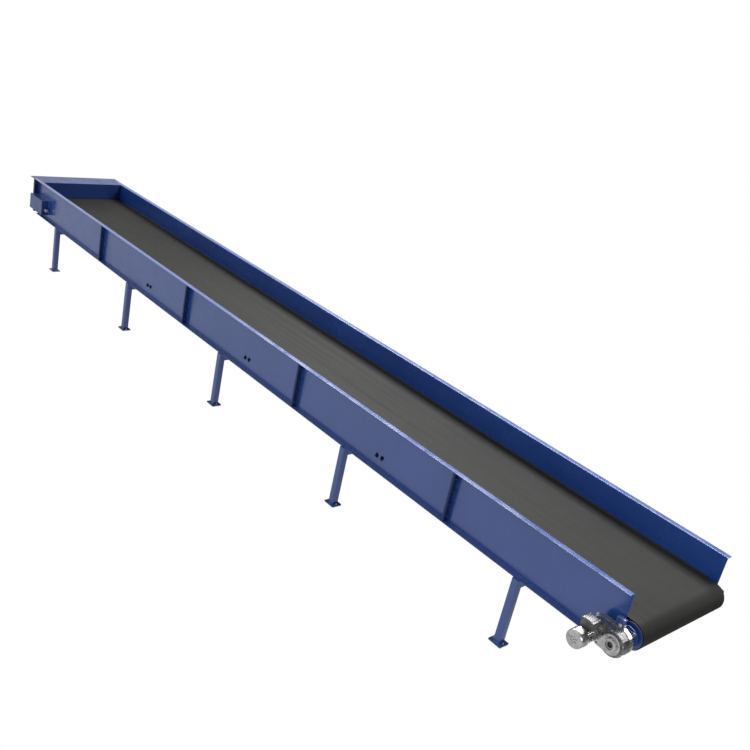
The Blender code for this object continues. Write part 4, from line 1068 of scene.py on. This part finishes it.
def build_motor():
    """The motor's cowl, the screws on its castings, the terminal box's lid and the cable gland."""
    low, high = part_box("fan_cowl")
    radius = (high.x - low.x) / 2
    start = WEB_Y[NEAR] - high.y
    end = WEB_Y[NEAR] - low.y
    build_cowl(radius, start, end)

    screws = bmesh.new()
    for angle in around(4, math.pi / 4):
        direction = spoke(angle)
        rim = drive_place(MOTOR.x, start + 0.004, MOTOR.z) + direction * radius
        socket_screw(screws, rim - direction * 0.0012, direction, 0.0035)
        base = drive_place(MOTOR.x, 0.1776, MOTOR.z) + direction * 0.0545
        hexagon(screws, 0.007, frame_at(base, OUTWARD), 0.0045)
    lid_low, lid_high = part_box("terminal_box_lid")
    for x in (lid_low.x + LID_SCREW_INSET, lid_high.x - LID_SCREW_INSET):
        for y in (lid_low.y + LID_SCREW_INSET, lid_high.y - LID_SCREW_INSET):
            socket_screw(screws, (x, y, lid_high.z - 0.0042), Z_AXIS, 0.0042)
    finish_bolts("motor_screws", screws)

    lid = bmesh.new()
    rounded_block(lid, lid_low, (lid_high.x, lid_high.y, lid_high.z - LID_LIP), 0.003)
    raised_low = (lid_low.x + 0.017, lid_low.y + 0.005, lid_high.z - 0.008)
    raised_high = (lid_high.x - 0.017, lid_high.y - 0.005, lid_high.z)
    rounded_block(lid, raised_low, raised_high, 0.0025)
    finish_piece("terminal_lid", lid, "terminal_box_grey", replaced=("terminal_box_lid",))

    gland = bmesh.new()
    box_middle = middle_of("terminal_box")
    gland_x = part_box("terminal_box")[0].x + 0.0160
    gland_at = frame_at((gland_x, box_middle.y, box_middle.z), -X_AXIS)
    nut = [
        (GLAND_CORNER * 0.9, 0), (GLAND_CORNER, 0.001), (GLAND_CORNER, 0.005),
        (GLAND_CORNER * 0.9, 0.006), (GLAND_BORE, 0.006), (GLAND_BORE, 0.0005),
    ]
    turned(gland, nut, gland_at, 6, hollow=True)
    cap = [
        (GLAND_BORE, 0), (0.0130, 0.0004), (0.0130, 0.0050), (0.0118, 0.0072),
        (0.0070, 0.0075), (0.0070, 0.0020),
    ]
    turned(gland, cap, gland_at @ Matrix.Translation((0, 0, 0.0085)), 24, hollow=True)
    finish_piece("gland_nuts", gland, "fan_plastic")


def build_cowl(radius, start, end):
    """The fan's cowl with its pressed end and its grille. Start and end are depths outside the web."""
    outer = [
        (radius - COWL_WALL, start), (radius, start), (radius, start + 0.006),
        (radius - 0.0012, start + 0.008), (radius - 0.0012, end - 0.020),
        (radius - 0.0030, end - 0.010), (radius - 0.0080, end - 0.0035),
        (radius - 0.0160, end - 0.0008), (radius - 0.0260, end), (0.030, end - 0.0006),
        (0.028, end - 0.0020), (0.004, end - 0.0020),
    ]
    inner_end = end - COWL_WALL
    inner = [
        (0.004, inner_end - 0.0020), (0.028, inner_end - 0.0020),
        (0.031, inner_end - 0.0006), (radius - 0.0260, inner_end),
        (radius - 0.0170, inner_end - 0.0008), (radius - 0.0095, inner_end - 0.0045),
        (radius - 0.0030 - COWL_WALL, end - 0.012),
        (radius - 0.0012 - COWL_WALL, end - 0.021),
        (radius - 0.0012 - COWL_WALL, start + 0.008),
    ]
    shape = bmesh.new()
    matrix = frame_at(drive_place(MOTOR.x, 0, MOTOR.z), OUTWARD)
    turned(shape, outer + inner, matrix, 64, hollow=True)
    cowl = finish_piece("cowl", shape, "cast_aluminium", replaced=("fan_cowl",))
    for reach, count, half_length in ((0.014, 4, 0.006), (0.0215, 6, 0.0065)):
        slot = rounded_outline(half_length, 0.0016, 0.0015, 3)
        for angle in around(count, math.pi / count):
            centre = drive_place(MOTOR.x, end, MOTOR.z) + reach * spoke(angle)
            cut_away(cowl, slot, -0.012, 0.004, frame_at(centre, OUTWARD, spoke(angle + math.pi / 2)))


# -------- tail head and the frame's own nodes


def build_tail_welds():
    """Weld beads where the tail head's plates meet the side frames."""
    start_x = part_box("tail_head")[0].x + 0.008
    splice_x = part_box("side_channel_near_1")[0].x - SPLICE_PLATE - LIFT
    under_top = FRAME_TOP - SHEET
    shape = bmesh.new()
    for side, _ in SIDES:
        web_face = outside(side, SHEET)
        corner = (splice_x, web_face, under_top)
        weld_bead(shape, (start_x, web_face, under_top), corner, (0, side, -1), TAKE_UP_WELD)
        weld_bead(shape, (splice_x, web_face, FRAME_Z + 0.065), corner, (-1, side, 0), TAKE_UP_WELD)
    finish_piece("tail_head_welds", shape, "frame_paint")


# Nodes whose names begin like this do not have their slot's own look.
OTHER_LOOKS = {
    "return_bracket": LOOKS["pulley_paint"],
    "bearing_housing_near": LOOKS["pulley_paint"],
    # Near-black slider bed: painted shade.
    "slider_bed": BED_PAINTED_SHADE,
    # The tail head wears the darker copy of the frame paint: painted shade.
    "tail_head": PAINTED_SHADE_BLUE,
    # Darker copy of the frame paint on the take-up frames: painted shade.
    "take_up_frame": TAKE_UP_PAINTED_SHADE,
}


def dress_cad_nodes():
    """Gives each of the frame's nodes the look of its slot, or its other look."""
    for subpart in frame["record"]["subparts"]:
        node = frame["nodes"][subpart["node"]]
        look = LOOKS[subpart["material_slot"]]
        for beginning, other_look in OTHER_LOOKS.items():
            if subpart["node"].startswith(beginning):
                look = other_look
        node.data.materials.clear()
        node.data.materials.append(look)


# -------- studio

FLOOR_HALF_SIZE = 450.0
FLOOR_NEAR = 0.80  # how much light the floor throws back on the near side
FLOOR_FAR = 0.22
SKY_DARK_TOWARDS = Vector((0.68, 0.73, 0.05)).normalized()
SKY_BRIGHT = 0.95
SKY_DARK = 0.06
LENS = 44.65
CAMERA_AT = Vector((7.0655, -5.2865, 4.0800))
CAMERA_RIGHT = Vector((0.6288, 0.7514, 0.2001)).normalized()
CAMERA_BACK = Vector((0.6604, -0.6519, 0.3727)).normalized()


def build_floor():
    """A white floor that throws less light back on the far side."""
    shape = bmesh.new()
    bmesh.ops.create_grid(shape, x_segments=1, y_segments=1, size=FLOOR_HALF_SIZE)
    floor = object_from("studio_floor", shape)
    surface = Surface("studio_floor", (0.0, 0.0, 0.0), 1.0, specular=0.0)
    parts = surface.node("ShaderNodeSeparateXYZ", {"Vector": surface.place})
    across = surface.between(parts.outputs["Y"], -1.0, 1.5, FLOOR_NEAR, FLOOR_FAR)
    strength = surface.white_in_view(across)
    surface.feed(surface.shader, {"Emission Color": (1, 1, 1), "Emission Strength": strength})
    floor.data.materials.append(surface.material)


def area_light(name, at, target, width, height, power):
    data = bpy.data.lights.new(name, "AREA")
    data.shape = "RECTANGLE"
    data.size = width
    data.size_y = height
    data.energy = power
    light = place_object(name, data)
    light.matrix_world = frame_at(at, Vector(at) - Vector(target))
    light.visible_camera = False


def build_lights():
    """A white sky that grows dark towards the far side of the drive end, and three soft lights."""
    world = bpy.data.worlds.new("studio")
    bpy.context.scene.world = world
    world.use_nodes = True
    sky = NodeGraph(world.node_tree)
    direction = sky.node("ShaderNodeTexCoord", {}).outputs["Generated"]
    facing = sky.dot(direction, SKY_DARK_TOWARDS)
    fade = sky.between(facing, -0.35, 0.62, SKY_BRIGHT, SKY_DARK, "SMOOTHSTEP")
    sky.feed(sky.nodes["Background"], {"Color": (1, 1, 1), "Strength": sky.white_in_view(fade)})
    area_light("overhead", (0.2, 3.8, 5.8), (0.2, 0.1, 0.8), 12.0, 2.4, 1150.0)
    area_light("drive_end", (7.3, -1.3, 1.9), (4.9, -0.3, 0.7), 1.6, 1.0, 24.0)
    area_light("drive_rim", (7.0, 3.6, 2.1), (4.9, 0.2, 0.75), 0.8, 2.0, 34.0)
    bpy.context.scene.view_settings.view_transform = "Standard"


def build_camera():
    """A camera near the drive end, above the near side."""
    data = bpy.data.cameras.new("camera")
    data.lens = LENS
    data.sensor_width = 36.0
    data.clip_end = 1000.0
    camera = place_object("camera", data)
    bpy.context.scene.camera = camera
    up = CAMERA_BACK.cross(CAMERA_RIGHT).normalized()
    matrix = Matrix((CAMERA_RIGHT, up, CAMERA_BACK)).transposed().to_4x4()
    matrix.translation = CAMERA_AT
    camera.matrix_world = matrix


dress_cad_nodes()
build_channels()
build_splice_bolts()
build_legs()
build_belt()
build_rollers()
build_drive_bearings()
build_pulley_ends()
build_take_up()
build_gear_unit()
build_motor()
build_tail_welds()
build_floor()
build_lights()
build_camera()
